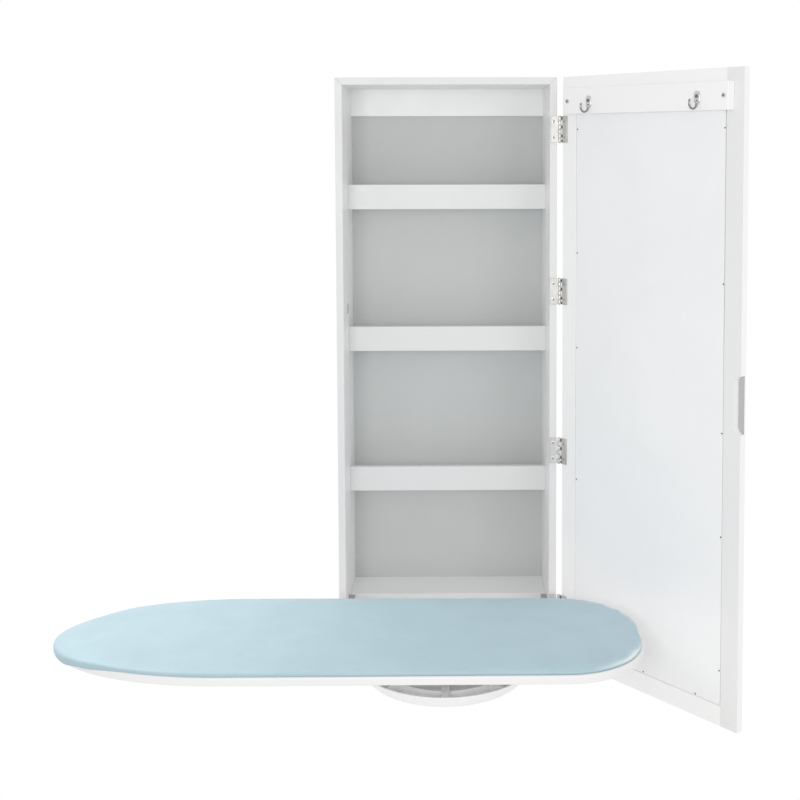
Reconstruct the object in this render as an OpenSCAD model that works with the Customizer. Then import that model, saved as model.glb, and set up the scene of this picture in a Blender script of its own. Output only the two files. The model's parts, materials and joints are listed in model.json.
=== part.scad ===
// Wall cabinet with a mirror door, three shelves and a fold-down ironing board on a turntable.
// X runs to the right, Y towards the wall, Z up. The origin is the centre of the back face.
// The modules work from the case's front edge (Y = 0) and its underside (Z = 0).

/* [Case] */
// Width of the case and of the door
case_w = 370; // [355:1:420]
// Height of the case and of the door
case_h = 986; // [975:1:1100]
// Depth of the case, from its front edges to the wall
case_d = 190; // [180:1:240]
// Thickness of the side, top and bottom panels
panel_t = 12; // [10:0.5:15]
// Thickness of the back panel
back_t = 3; // [2.5:0.5:6]
// Height of the cleat under the top panel
cleat_h = 48; // [36:1:70]
// Thickness of the cleat
cleat_t = 12; // [9:0.5:18]

/* [Shelves] */
// Distance from the case's front edge to the front rails
shelf_setback = 97.5; // [97:0.5:110]
// Distance from the top of the case to the top of the highest rail
first_rail_drop = 181; // [150:1:220]
// Distance from one shelf to the next
shelf_pitch = 250; // [220:1:260]
// Thickness of the shelves and of their rails
shelf_t = 12; // [9:0.5:15]
// Height of a front rail
rail_h = 43; // [30:1:60]
// Height of the bottom shelf's top above the underside of the case
bottom_shelf_top = 75; // [60:1:110]

/* [Door] */
// Angle at which the door stands open
door_open = 130; // [126:1:150]
// Thickness of the door
door_t = 12; // [11:0.5:18]
// Width of the door frame seen from behind
frame_back_w = 31; // [28:1:45]
// Width by which the front lip covers the mirror
lip_w = 9; // [5:1:20]
// Thickness of the front lip
lip_t = 4; // [2:0.5:5]
// Thickness of the mirror
mirror_t = 4; // [3:0.5:4.5]
// Depth of the backing panel's face below the frame
backing_recess = 0.5; // [0.2:0.1:1]
// Length of the finger pull in the free stile
pull_len = 87; // [60:1:120]
// Width of the finger pull on the inner face
pull_w = 11; // [9:0.5:16]
// Depth of the finger pull below the inner face
pull_depth = 9; // [7:0.5:9.5]
// Height of the finger pull's centre above the underside
pull_z = 492; // [400:1:600]

/* [Hook rail] */
// Distance from the door's sides to the ends of the hook rail
hook_rail_inset = 17.5; // [12:0.5:18.5]
// Height of the hook rail
hook_rail_h = 42; // [36:1:60]
// Thickness of the hook rail
hook_rail_t = 15; // [12:0.5:20]
// Distance from the top of the door to the hook rail
hook_rail_drop = 20; // [15:1:60]
// Distance from a hook to the nearer edge of the door
hook_inset = 74; // [60:1:120]
// Distance by which a hook stands out from the rail
hook_reach = 20; // [17:0.5:30]
// Thickness of the hook's rod
hook_rod_d = 3.2; // [2.8:0.2:3.8]

/* [Hinges] */
// Number of door hinges
hinge_n = 4; // [3:1:5]
// Distance from a hinge's centre to the nearer end of the case, at both ends
hinge_end = 86.5; // [70:0.5:110]
// Length of a hinge along its pin
hinge_len = 44; // [36:1:60]
// Thickness of a hinge leaf
leaf_t = 1.5; // [1:0.1:2]
// Diameter of a hinge knuckle
knuckle_d = 5.2; // [4.8:0.1:5.6]
// Diameter of a hinge pin
hinge_pin_d = 2.4; // [2:0.1:2.8]
// Distance from the case's outer side to the pin's centre
pin_out = 4.4; // [4.2:0.1:6]
// Gap between the case and the closed door
door_gap = 5.2; // [4.8:0.1:6]

/* [Board] */
// Width of the ironing board
board_w = 292; // [260:1:300]
// Distance from the turntable's centre to the round end
board_long = 577; // [500:1:600]
// Distance from the turntable's centre to the square end
board_short = 293; // [270:1:294]
// Corner radius of the square end
board_corner_r = 122; // [80:1:125]
// Length of the round end's curve
board_tip_len = 262; // [160:1:280]
// Thickness of the board's panel
board_t = 12; // [9:0.5:15]
// Height of the board's underside above the underside of the case
board_z = 127; // [124:0.5:128]
// Thickness of the padded cover at its crown
cover_h = 8; // [6:0.5:9]
// Thickness of the cover's cloth
cloth_t = 0.9; // [0.6:0.1:1.2]

/* [Fold mechanism] */
// Distance from the case's front edge to the fold axis
fold_y = 15; // [13:0.5:16]
// Height of the fold axis above the underside of the case
fold_z = 72; // [70:0.5:74]
// Distance from the fold axis to the turntable's centre
arm_reach = 272; // [268:1:290]
// Width of a folding arm
arm_w = 16; // [12:1:25]
// Height of a folding arm
arm_h = 20; // [18:0.5:20]
// Distance between the centres of the two arms
arm_spacing = 120; // [110:1:140]
// Outer diameter of the pivot tube
tube_d = 16; // [14:0.5:17]
// Wall of the pivot tube
tube_wall = 1.5; // [1:0.1:2]
// Diameter of the pivot studs
stud_d = 8; // [6:0.5:8.5]
// Thickness of the side brackets
bracket_t = 2.5; // [2:0.5:4]
// Length of the side brackets
bracket_len = 58; // [54:1:70]
// Width of a stop tab
tab_w = 8; // [7:0.5:12]
// Height of the stop's contact face above the fold axis
stop_rise = 12; // [11:0.5:14]
// Thickness of a stop lug
lug_t = 5; // [3:0.5:6]

/* [Turntable] */
// Diameter of the turntable base at its floor
base_d = 237; // [220:1:250]
// Diameter of the turntable base at its rim
base_rim_d = 262; // [240:1:264]
// Height of the turntable base
base_h = 20; // [17:0.5:21]
// Thickness of the turntable base's floor and wall
base_wall = 3; // [2:0.5:4]
// Outer diameter of the bearing ring
bearing_d = 98; // [80:1:105]
// Width of the bearing ring
bearing_w = 9; // [6:0.5:12]
// Thickness of the slip ring
slip_t = 2; // [1:0.5:3]
// Diameter of the board's swivel plate
plate_d = 144; // [130:1:160]
// Thickness of the board's swivel plate
plate_t = 5; // [4:0.5:7]
// Diameter of the pivot bolt
bolt_d = 8; // [6:0.5:10]

/* [Wall fixing] */
// Distance between the two hanger plates
hanger_spacing = 260; // [180:1:290]
// Diameter of a hanger plate's round hole
hanger_hole_d = 9; // [8:0.5:10]
// Width of a hanger plate's slot
hanger_slot_w = 4.6; // [4:0.2:5]

/* [Fits] */
// Radial running clearance of a pin or stud
run_gap = 0.05; // [0.02:0.01:0.1]
// Gap at a seat or between neighbouring pieces
seat_gap = 0.3; // [0.2:0.05:0.4]
// Radial clearance of a screw in its hole
screw_gap = 0.1; // [0.05:0.05:0.2]

/* [Hidden] */
$fn = 48;
white = [0.93, 0.93, 0.93];
grey = [0.74, 0.77, 0.77];
steel = [0.7, 0.7, 0.72];
nickel = [0.78, 0.77, 0.74];
blue = [0.7, 0.82, 0.88];
eps = 0.5;

half_w = case_w / 2;
inner_w = half_w - panel_t;
back_face = case_d - back_t;
shelf_count = 3;

// Door and its sheets
door_face = -door_gap;
frame_front_w = frame_back_w + lip_w;
mirror_gap = 0.3;
mirror_back = door_face - door_t + lip_t + mirror_t;
backing_gap = 0.6;
backing_pin_d = 1.2;
backing_pin_len = 2.5;
pin_edge = 2.5;
// Heights of the pins beside the hinge stile and beside the free stile, as shares of the door's height
hinge_side_pins = [0.32, 0.545, 0.705, 0.912];
free_side_pins = [0.086, 0.293, 0.452, 0.678, 0.911];
// Places of the pins along the bottom, as shares of the door's width from its middle
bottom_pins = [-0.286, 0, 0.286];

// Hinges
pin_x = half_w + pin_out;
pin_y = -door_gap / 2;
leaf_x0 = inner_w + 0.4;
leaf_x1 = half_w + 0.5;
hinge_step = (case_h - 2 * hinge_end) / (hinge_n - 1);
knuckle_n = 6;
knuckle_gap = 0.2;
pin_head_h = 0.8;
pin_head_rim = 0.8;
leaf_screw_x = (leaf_x0 + half_w) / 2;
leaf_screw_z = hinge_len * 0.3;
leaf_screw_d = 2.8;
leaf_screw_len = 12;
door_screw_len = door_t - 2;

// Hook rail and hooks
hook_rail_top = case_h - hook_rail_drop;
hook_rail_z = hook_rail_top - hook_rail_h / 2;
hook_face = door_face + hook_rail_t;
rail_half = half_w - hook_rail_inset;
rail_screw_edge = 5.5;
rail_screw_x = half_w - frame_back_w + rail_screw_edge;
rail_screw_d = 3.5;
rail_screw_len = hook_rail_t + 7;
hook_plate_w = 11;
hook_plate_h = 20;
hook_plate_t = 1.6;
hook_plate_drop = 2;
hook_root_len = 5;
hook_tip_rise = 2;
hook_tip_d = 1.2 * hook_rod_d;
hook_curl_r = 4;
hook_curl = 60;
hook_rod_y = hook_rod_d / 2 + 0.3;
hook_bend_r = (hook_reach - hook_rod_y - hook_rod_d / 2) / 2;
hook_bend_z = -hook_plate_drop - hook_plate_h / 2 + hook_rod_d / 2;
hook_screw_d = 3;
hook_screw_len = 12;

// Catch plate on the left side panel
catch_h = 16;
catch_w = 14;
catch_t = 1.6;
catch_y = 66;
catch_z = 0.6 * case_h;
catch_slot = 2.2;
catch_screw_edge = 3;
catch_screw_d = 2.4;
catch_screw_len = 9;

// Wall fixing
hanger_z = case_h - panel_t - cleat_h / 2;
hanger_plate_w = 22;
hanger_plate_h = 40;
hanger_plate_t = 2;
hanger_slot_rise = 8;
hanger_pocket = 6;
hanger_screw_edge = 4;
hanger_screw_d = 3;
hanger_screw_len = 8;

// Fold mechanism
swivel_y = fold_y - arm_reach;
arm_tail = 35;
arm_top = fold_z + arm_h / 2;
arm_screw_pitch = 50;
arm_screw_d = 5;
stud_len = 22;
bush_len = 18;
lug_len = 43;
lug_x1 = inner_w - bracket_t - 2.5;
bracket_y0 = 4;
bracket_drop = 26;
tab_len = 20;
bracket_screw_d = 4;
bracket_screw_len = 12.5;
bracket_screw_edge = 7;
upper_screw_rise = 3;
upper_screw_back = 26;

// Turntable
base_z = arm_top;
dish_edge = 4;
rib_t = 3;
rib_h = 12;
rib_n = 8;
front_rib_t = 12;
mid_ring_d = 182;
mid_ring_h = base_wall + rib_h - 3;
boss_d = 12;
centre_boss_d = 26;
bearing_top = base_z + base_h - 2;
slip_top = bearing_top + slip_t;
slip_gap = 0.2;
plate_z = board_z - plate_t;
plate_screw_pcd = 120;
plate_screw_d = 3.5;
plate_screw_len = 13;
washer_t = 1.6;
washer_gap = 0.1;
nut_h = 7;
nut_z = base_z - washer_gap - washer_t - nut_h;
bolt_end = 2;
bolt_head_d = 18;
bolt_head_h = 2.5;

// Board, foam and cover
cover_z = board_z + board_t;
corner_steps = 8;
tip_steps = 24;
pad_inset = 7;
foam_gap = 0.1;
cover_room = cover_h - 2 * cloth_t - 1;
// Cover rings from the underside to the crown, each as [inset, share of the height]
cover_rings = [[3, 0], [0.8, 0.1], [0, 0.32], [0.5, 0.55], [2.5, 0.76], [7, 0.9], [16, 0.96], [45, 1]];

// ---- helpers ----

// Box between two corners
module block(low, high) { translate(low) cube(high - low); }

// Rod along X from x0 to x1
module rod_x(d, x0, x1) { translate([x0, 0, 0]) rotate([0, 90, 0]) cylinder(d = d, h = x1 - x0); }

// Rod along Y from y0 to y1
module rod_y(d, y0, y1) { translate([0, y1, 0]) rotate([90, 0, 0]) cylinder(d = d, h = y1 - y0); }

// Screw with a low domed head, seated at Z = 0 and driven down
module screw(d, len) {
  translate([0, 0, -len]) cylinder(d = d, h = len);
  cylinder(d = 2 * d, h = d * 0.25);
}

// Clearance hole for the same screw
module screw_hole(d, len) {
  translate([0, 0, -len - eps]) cylinder(d = d + 2 * screw_gap, h = len + 2 * eps);
}

// Moves a closed door's piece to where the door stands open
module on_door() {
  translate([pin_x, pin_y, 0]) rotate([0, 0, door_open]) translate([-pin_x, -pin_y, 0]) children();
}

// One copy at each hinge
module at_hinges() {
  for (i = [0 : hinge_n - 1]) translate([0, 0, hinge_end + i * hinge_step]) children();
}

// The case's front edges are reached by screws along +Y, a door leaf's by screws along -Y
module case_leaf_screws() {
  at_hinges() for (s = [-1, 1])
    translate([leaf_screw_x, -leaf_t, s * leaf_screw_z]) rotate([90, 0, 0]) children();
}
module door_leaf_screws() {
  at_hinges() for (s = [-1, 1])
    translate([leaf_screw_x, door_face + leaf_t, s * leaf_screw_z]) rotate([-90, 0, 0]) children();
}

// ---- case ----

// Panel of the case with mitred ends, lying along X at Z = 0 with its outer face down
module mitred_panel(length, depth) {
  translate([-length / 2, depth, 0]) rotate([90, 0, 0]) linear_extrude(depth)
    polygon([[0, 0], [length, 0], [length - panel_t, panel_t], [panel_t, panel_t]]);
}

// Right side panel, before its holes
module side_blank() {
  translate([half_w, 0, case_h / 2]) rotate([0, -90, 0]) mitred_panel(case_h, case_d);
}

module side_panel_right() {
  color(white) difference() {
    side_blank();
    case_leaf_screws() screw_hole(leaf_screw_d, leaf_screw_len + leaf_t);
    bracket_screw_places() screw_hole(bracket_screw_d, bracket_screw_len);
  }
}

module side_panel_left() {
  color(white) difference() {
    mirror([1, 0, 0]) side_blank();
    mirror([1, 0, 0]) bracket_screw_places() screw_hole(bracket_screw_d, bracket_screw_len);
    catch_screw_places() screw_hole(catch_screw_d, catch_screw_len);
  }
}

module bottom_panel() { color(white) mitred_panel(case_w, case_d); }

module top_panel() {
  color(white) translate([0, 0, case_h]) mirror([0, 0, 1]) mitred_panel(case_w, case_d);
}

module back_panel() {
  color(grey) difference() {
    block([-inner_w, back_face, panel_t], [inner_w, case_d, case_h - panel_t]);
    at_hangers() block([-hanger_plate_w / 2, back_face - eps, -hanger_plate_h / 2],
      [hanger_plate_w / 2, case_d + eps, hanger_plate_h / 2]);
  }
}

// Cleat that takes the cabinet's weight, with a pocket behind each hanger for the screw's head
module hanging_cleat() {
  color(white) difference() {
    block([-inner_w, back_face - cleat_t, case_h - panel_t - cleat_h],
      [inner_w, back_face, case_h - panel_t]);
    at_hangers() translate([0, 0, hanger_slot_rise / 2])
      block([-hanger_hole_d / 2, back_face - hanger_pocket, -hanger_hole_d],
        [hanger_hole_d / 2, back_face + eps, hanger_hole_d]);
    at_hangers() hanger_screw_places() screw_hole(hanger_screw_d, hanger_screw_len);
  }
}

// ---- wall fixing ----

// One copy at each hanger plate
module at_hangers() { for (s = [-1, 1]) translate([s * hanger_spacing / 2, 0, hanger_z]) children(); }

module hanger_screw_places() {
  for (s = [-1, 1]) translate([0, back_face + hanger_plate_t, s * (hanger_plate_h / 2 - hanger_screw_edge)])
    rotate([-90, 0, 0]) children();
}

// Keyhole plates let into the back panel: the round hole takes a screw's head, the slot its shank
module hanger_plates() {
  color(steel) at_hangers() difference() {
    block([-hanger_plate_w / 2 + seat_gap, back_face, -hanger_plate_h / 2 + seat_gap],
      [hanger_plate_w / 2 - seat_gap, back_face + hanger_plate_t, hanger_plate_h / 2 - seat_gap]);
    rod_y(hanger_hole_d, back_face - eps, case_d);
    translate([0, 0, hanger_slot_rise]) rod_y(hanger_slot_w, back_face - eps, case_d);
    block([-hanger_slot_w / 2, back_face - eps, 0], [hanger_slot_w / 2, case_d, hanger_slot_rise]);
    hanger_screw_places() screw_hole(hanger_screw_d, hanger_screw_len);
  }
}

module hanger_screws() {
  color(steel) at_hangers() hanger_screw_places() screw(hanger_screw_d, hanger_screw_len);
}

// ---- shelves ----

function rail_top(i) = case_h - first_rail_drop - i * shelf_pitch;

module shelf(top, front) {
  color(white) block([-inner_w, front, top - shelf_t], [inner_w, back_face, top]);
}

// Retaining rail in front of shelf i: the shelf lies behind it, level with its lower edge
module shelf_rail(i) {
  color(white) block([-inner_w, shelf_setback, rail_top(i) - rail_h],
    [inner_w, shelf_setback + shelf_t, rail_top(i)]);
}

module shelf_behind_rail(i) { shelf(rail_top(i) - rail_h + shelf_t, shelf_setback + shelf_t); }

module bottom_shelf() { shelf(bottom_shelf_top, shelf_setback); }

// ---- catch plate on the left side panel ----

module catch_screw_places() {
  for (s = [-1, 1]) translate([-inner_w + catch_t, catch_y, catch_z + s * (catch_h / 2 - catch_screw_edge)])
    rotate([0, 90, 0]) children();
}

module catch_plate() {
  color(nickel) difference() {
    block([-inner_w, catch_y - catch_w / 2, catch_z - catch_h / 2],
      [-inner_w + catch_t, catch_y + catch_w / 2, catch_z + catch_h / 2]);
    block([-inner_w - eps, catch_y - catch_w / 4, catch_z - catch_slot / 2],
      [-inner_w + catch_t + eps, catch_y + catch_w / 4, catch_z + catch_slot / 2]);
    catch_screw_places() screw_hole(catch_screw_d, catch_screw_len);
  }
}

module catch_screws() { color(nickel) catch_screw_places() screw(catch_screw_d, catch_screw_len); }

// ---- hinges ----

// Knuckles first, first + 2, ... of one leaf, each joined to the leaf by a web at height y
module knuckles(first, y) {
  step = hinge_len / knuckle_n;
  for (k = [first : 2 : knuckle_n - 1]) translate([0, 0, -hinge_len / 2 + k * step + knuckle_gap / 2]) {
    translate([pin_x, pin_y, 0]) cylinder(d = knuckle_d, h = step - knuckle_gap);
    block([leaf_x1 - eps, y, 0], [pin_x, y + leaf_t, step - knuckle_gap]);
  }
}

// One leaf with its plate at height y and knuckles from number first
module leaf(first, y) {
  difference() {
    union() {
      block([leaf_x0, y, -hinge_len / 2], [leaf_x1, y + leaf_t, hinge_len / 2]);
      knuckles(first, y);
    }
    translate([pin_x, pin_y, -hinge_len]) cylinder(d = hinge_pin_d + 2 * run_gap, h = 2 * hinge_len);
  }
}

module hinge_case_leaves() {
  color(nickel) difference() {
    at_hinges() leaf(0, -leaf_t);
    case_leaf_screws() screw_hole(leaf_screw_d, leaf_screw_len);
  }
}

module hinge_door_leaves() {
  color(nickel) on_door() difference() {
    at_hinges() leaf(1, door_face);
    door_leaf_screws() screw_hole(leaf_screw_d, leaf_screw_len);
  }
}

// Pins with a low head at each end
module hinge_pins() {
  color(nickel) at_hinges() translate([pin_x, pin_y, 0]) {
    cylinder(d = hinge_pin_d, h = hinge_len, center = true);
    for (s = [-1, 1]) translate([0, 0, s * (hinge_len + pin_head_h) / 2])
      cylinder(d = knuckle_d - 2 * pin_head_rim, h = pin_head_h, center = true);
  }
}

module hinge_case_screws() { color(nickel) case_leaf_screws() screw(leaf_screw_d, leaf_screw_len); }

module hinge_door_screws() {
  color(nickel) on_door() door_leaf_screws() screw(leaf_screw_d, door_screw_len);
}

// ---- door ----

// Frame member of length len along Z, with its outer side at X = 0 and its lip towards -X
module stile(len) {
  block([-frame_back_w, door_face - door_t, 0], [0, door_face, len]);
  block([-frame_front_w, door_face - door_t, 0], [-frame_back_w, door_face - door_t + lip_t, len]);
}

// Rail between the stiles, with its outer side at Z = 0 and its lip above it
module rail() {
  block([-half_w + frame_back_w, door_face - door_t + lip_t, 0],
    [half_w - frame_back_w, door_face, frame_back_w]);
  block([-half_w + frame_front_w, door_face - door_t, 0],
    [half_w - frame_front_w, door_face - door_t + lip_t, frame_front_w]);
}

module door_stile_hinge() {
  color(white) on_door() difference() {
    translate([half_w, 0, 0]) stile(case_h);
    door_leaf_screws() screw_hole(leaf_screw_d, door_screw_len + leaf_t);
    rail_screw_places() screw_hole(rail_screw_d, rail_screw_len);
  }
}

// Finger pull: a round-ended scoop out of the stile's inner corner
module pull_scoop() {
  translate([-half_w, door_face, pull_z]) for (s = [-1, 1]) {
    translate([0, 0, s * (pull_len / 2 - pull_w)]) rotate([90, 0, 0])
      cylinder(r = pull_w, h = 2 * pull_depth, center = true);
  }
  block([-half_w - pull_w, door_face - pull_depth, pull_z - pull_len / 2 + pull_w],
    [-half_w + pull_w, door_face + pull_depth, pull_z + pull_len / 2 - pull_w]);
}

module door_stile_free() {
  color(white) on_door() difference() {
    translate([-half_w, 0, 0]) mirror([1, 0, 0]) stile(case_h);
    pull_scoop();
    rail_screw_places() screw_hole(rail_screw_d, rail_screw_len);
  }
}

module door_rail_bottom() { color(white) on_door() rail(); }

module door_rail_top() { color(white) on_door() translate([0, 0, case_h]) mirror([0, 0, 1]) rail(); }

// Sheet that fills the frame's rebate, less a gap all round
module rebate_sheet(gap, y0, y1) {
  x = half_w - frame_back_w - gap;
  block([-x, y0, frame_back_w + gap], [x, y1, case_h - frame_back_w - gap]);
}

module mirror_pane() {
  color([0.8, 0.85, 0.88]) on_door() rebate_sheet(mirror_gap, door_face - door_t + lip_t, mirror_back);
}

module pin_places() {
  x = half_w - frame_back_w - backing_gap - pin_edge;
  y = door_face - backing_recess;
  for (p = hinge_side_pins) translate([x, y, p * case_h]) rotate([-90, 0, 0]) children();
  for (p = free_side_pins) translate([-x, y, p * case_h]) rotate([-90, 0, 0]) children();
  for (p = bottom_pins) translate([p * case_w, y, frame_back_w + backing_gap + pin_edge])
    rotate([-90, 0, 0]) children();
}

module backing_panel() {
  color(white) on_door() difference() {
    rebate_sheet(backing_gap, mirror_back, door_face - backing_recess);
    pin_places() screw_hole(backing_pin_d, backing_pin_len);
  }
}

module backing_pins() { color(steel) on_door() pin_places() screw(backing_pin_d, backing_pin_len); }

// ---- hook rail and hooks ----

module rail_screw_places() {
  for (s = [-1, 1]) translate([s * rail_screw_x, hook_face, hook_rail_z]) rotate([-90, 0, 0]) children();
}

// Screw places of the hook on the side s of the rail
module hook_screw_place(s) {
  translate([s * (half_w - hook_inset), hook_face + hook_plate_t, hook_rail_z])
    rotate([-90, 0, 0]) children();
}

module hook_rail() {
  color(white) on_door() difference() {
    block([-rail_half, door_face, hook_rail_top - hook_rail_h], [rail_half, hook_face, hook_rail_top]);
    rail_screw_places() screw_hole(rail_screw_d, rail_screw_len);
    for (s = [-1, 1]) hook_screw_place(s) screw_hole(hook_screw_d, hook_screw_len);
  }
}

module hook_rail_screws() {
  color(steel) on_door() rail_screw_places() screw(rail_screw_d, rail_screw_len);
}

// Plate with round ends, flat on the rail, with its screw's place at the origin
module hook_plate() {
  mid = (hook_plate_h - hook_plate_w) / 2;
  translate([0, 0, -hook_plate_drop]) {
    block([-hook_plate_w / 2, 0, -mid], [hook_plate_w / 2, hook_plate_t, mid]);
    for (s = [-1, 1]) translate([0, 0, s * mid]) rod_y(hook_plate_w, 0, hook_plate_t);
  }
}

// Arc of the hook's rod with radius r that turns from angle a, where 0 points away from the rail
module rod_arc(r, a, turn) {
  rotate([90, 0, 90]) rotate([0, 0, a]) rotate_extrude(angle = turn)
    translate([r, 0]) circle(d = hook_rod_d);
}

// Rod that drops along the plate, bends half round and curls in at its tip
module hook_rod() {
  translate([0, hook_rod_y, 0]) {
    cylinder(d = hook_rod_d, h = hook_root_len);
    translate([0, 0, hook_root_len]) sphere(d = hook_rod_d);
    translate([0, hook_bend_r, 0]) rod_arc(hook_bend_r, 180, 180);
    translate([0, 2 * hook_bend_r, 0]) cylinder(d = hook_rod_d, h = hook_tip_rise);
    translate([0, 2 * hook_bend_r - hook_curl_r, hook_tip_rise]) {
      rod_arc(hook_curl_r, 0, hook_curl);
      translate([0, hook_curl_r * cos(hook_curl), hook_curl_r * sin(hook_curl)]) sphere(d = hook_tip_d);
    }
  }
}

// J hook on the side s of the rail
module coat_hook(s) {
  color(nickel) on_door() difference() {
    translate([s * (half_w - hook_inset), hook_face, hook_rail_z]) {
      hook_plate();
      translate([0, 0, hook_bend_z]) hook_rod();
    }
    hook_screw_place(s) screw_hole(hook_screw_d, hook_screw_len);
  }
}

module hook_screws() {
  color(nickel) on_door() for (s = [-1, 1]) hook_screw_place(s) screw(hook_screw_d, hook_screw_len);
}

// ---- side brackets and fold axis ----

// Screw places on the right bracket
module bracket_screw_places() {
  low = bracket_screw_edge - bracket_drop;
  places = [[bracket_screw_edge, low], [bracket_len - bracket_screw_edge, low],
    [bracket_len - upper_screw_back, upper_screw_rise]];
  for (p = places) translate([inner_w - bracket_t, bracket_y0 + p[0], fold_z + p[1]])
    rotate([0, -90, 0]) children();
}

// Right bracket: a plate on the side panel, a bent tab that stops the lug and a hole for the stud
module right_bracket() {
  top = fold_z + stop_rise + seat_gap;
  difference() {
    union() {
      block([inner_w - bracket_t, bracket_y0, fold_z - bracket_drop],
        [inner_w, bracket_y0 + bracket_len, top + bracket_t]);
      block([inner_w - bracket_t - tab_w, bracket_y0 + bracket_len - tab_len, top],
        [inner_w - bracket_t + eps, bracket_y0 + bracket_len, top + bracket_t]);
    }
    translate([0, fold_y, fold_z]) rod_x(stud_d, inner_w - bracket_t - 1, inner_w + 1);
    bracket_screw_places() screw_hole(bracket_screw_d, bracket_screw_len);
  }
}

module side_bracket_right() { color(steel) right_bracket(); }
module side_bracket_left() { color(steel) mirror([1, 0, 0]) right_bracket(); }

// Stud riveted in the bracket, on which the pivot tube turns
module right_stud() { translate([0, fold_y, fold_z]) rod_x(stud_d, inner_w - stud_len, inner_w); }

module pivot_stud_right() { color(steel) right_stud(); }
module pivot_stud_left() { color(steel) mirror([1, 0, 0]) right_stud(); }

module bracket_screws() {
  color(steel) for (m = [0, 1]) mirror([m, 0, 0])
    bracket_screw_places() screw(bracket_screw_d, bracket_screw_len);
}

// ---- folding frame ----

module pivot_tube() {
  color(white) translate([0, fold_y, fold_z]) difference() {
    rod_x(tube_d, -lug_x1, lug_x1);
    rod_x(tube_d - 2 * tube_wall, -lug_x1 - 1, lug_x1 + 1);
  }
}

// Plastic bushes pushed into the tube's ends
module pivot_bushes() {
  color([0.2, 0.2, 0.2]) for (m = [0, 1]) mirror([m, 0, 0])
    translate([0, fold_y, fold_z]) difference() {
      rod_x(tube_d - 2 * tube_wall - 2 * run_gap, lug_x1 - bush_len, lug_x1);
      rod_x(stud_d + 2 * run_gap, lug_x1 - bush_len - 1, lug_x1 + 1);
    }
}

// Lug on the tube's right end: its tail bears up against the bracket's tab
module right_lug() {
  translate([0, fold_y, fold_z]) difference() {
    union() {
      rod_x(2 * stop_rise, lug_x1 - lug_t, lug_x1);
      block([lug_x1 - lug_t, 0, 0], [lug_x1, lug_len, stop_rise]);
    }
    rod_x(tube_d + 2 * run_gap, lug_x1 - lug_t - 1, lug_x1 + 1);
  }
}

module stop_lug_right() { color(white) right_lug(); }
module stop_lug_left() { color(white) mirror([1, 0, 0]) right_lug(); }

// Screw places under the right arm, pointing down
module arm_screw_places() {
  for (s = [-1, 1]) translate([arm_spacing / 2, swivel_y + s * arm_screw_pitch / 2, arm_top - arm_h])
    rotate([180, 0, 0]) children();
}

module right_arm() {
  difference() {
    union() {
      translate([0, fold_y, fold_z])
        rod_x(arm_h, (arm_spacing - arm_w) / 2, (arm_spacing + arm_w) / 2);
      block([(arm_spacing - arm_w) / 2, swivel_y - arm_tail, arm_top - arm_h],
        [(arm_spacing + arm_w) / 2, fold_y, arm_top]);
    }
    translate([0, fold_y, fold_z]) rod_x(tube_d + 2 * run_gap, 0, arm_spacing);
    arm_screw_places() screw_hole(arm_screw_d, arm_h);
  }
}

module fold_arm_right() { color(white) right_arm(); }
module fold_arm_left() { color(white) mirror([1, 0, 0]) right_arm(); }

module arm_screws() {
  color(steel) for (m = [0, 1]) mirror([m, 0, 0]) arm_screw_places() screw(arm_screw_d, arm_h + rib_h);
}

// ---- turntable ----

// Ribbed dish, open at the top, with a bearing ring and a boss for the pivot bolt
module turntable_base() {
  floor_top = base_z + base_wall;
  color(white) translate([0, swivel_y, 0]) difference() {
    union() {
      translate([0, 0, base_z]) rotate_extrude($fn = 96) dish_profile();
      translate([0, 0, base_z]) ring(mid_ring_d, rib_t, mid_ring_h);
      translate([0, 0, base_z]) ring(bearing_d, bearing_w, bearing_top - base_z);
      translate([0, 0, base_z]) cylinder(d = centre_boss_d, h = bearing_top - base_z);
      for (k = [0 : rib_n - 1]) rotate([0, 0, k * 360 / rib_n - 90])
        block([bearing_d / 2 - 1, -rib_width(k) / 2, base_z],
          [base_d / 2 - base_wall / 2, rib_width(k) / 2, floor_top + rib_h]);
      for (x = [-1, 1], y = [-1, 1]) translate([x * arm_spacing / 2, y * arm_screw_pitch / 2, base_z])
        cylinder(d = boss_d, h = base_wall + rib_h);
    }
    translate([0, 0, base_z - 1]) cylinder(d = bolt_d + 2 * run_gap, h = base_h + 2);
    for (x = [-1, 1], y = [-1, 1]) translate([x * arm_spacing / 2, y * arm_screw_pitch / 2, base_z - 1])
      cylinder(d = arm_screw_d + 2 * screw_gap, h = rib_h + 2);
  }
}

function rib_width(k) = k == 0 ? front_rib_t : rib_t;

// Wall that flares from the floor to the rim, and the floor
module dish_profile() {
  polygon([[0, 0], [base_d / 2 - dish_edge, 0], [base_d / 2, base_wall], [base_rim_d / 2, base_h],
    [base_rim_d / 2 - base_wall, base_h], [base_d / 2 - base_wall, base_wall], [0, base_wall]]);
}

module ring(d, w, h) {
  difference() {
    cylinder(d = d, h = h);
    translate([0, 0, -1]) cylinder(d = d - 2 * w, h = h + 2);
  }
}

module slip_ring() {
  color([0.85, 0.85, 0.8]) translate([0, swivel_y, bearing_top]) ring(bearing_d, bearing_w, slip_t);
}

// Screw places on the swivel plate's underside, driven up into the board
module plate_screw_places() {
  for (a = [45 : 90 : 315]) translate([0, swivel_y, plate_z]) rotate([0, 0, a])
    translate([plate_screw_pcd / 2, 0, 0]) rotate([180, 0, 0]) children();
}

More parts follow.
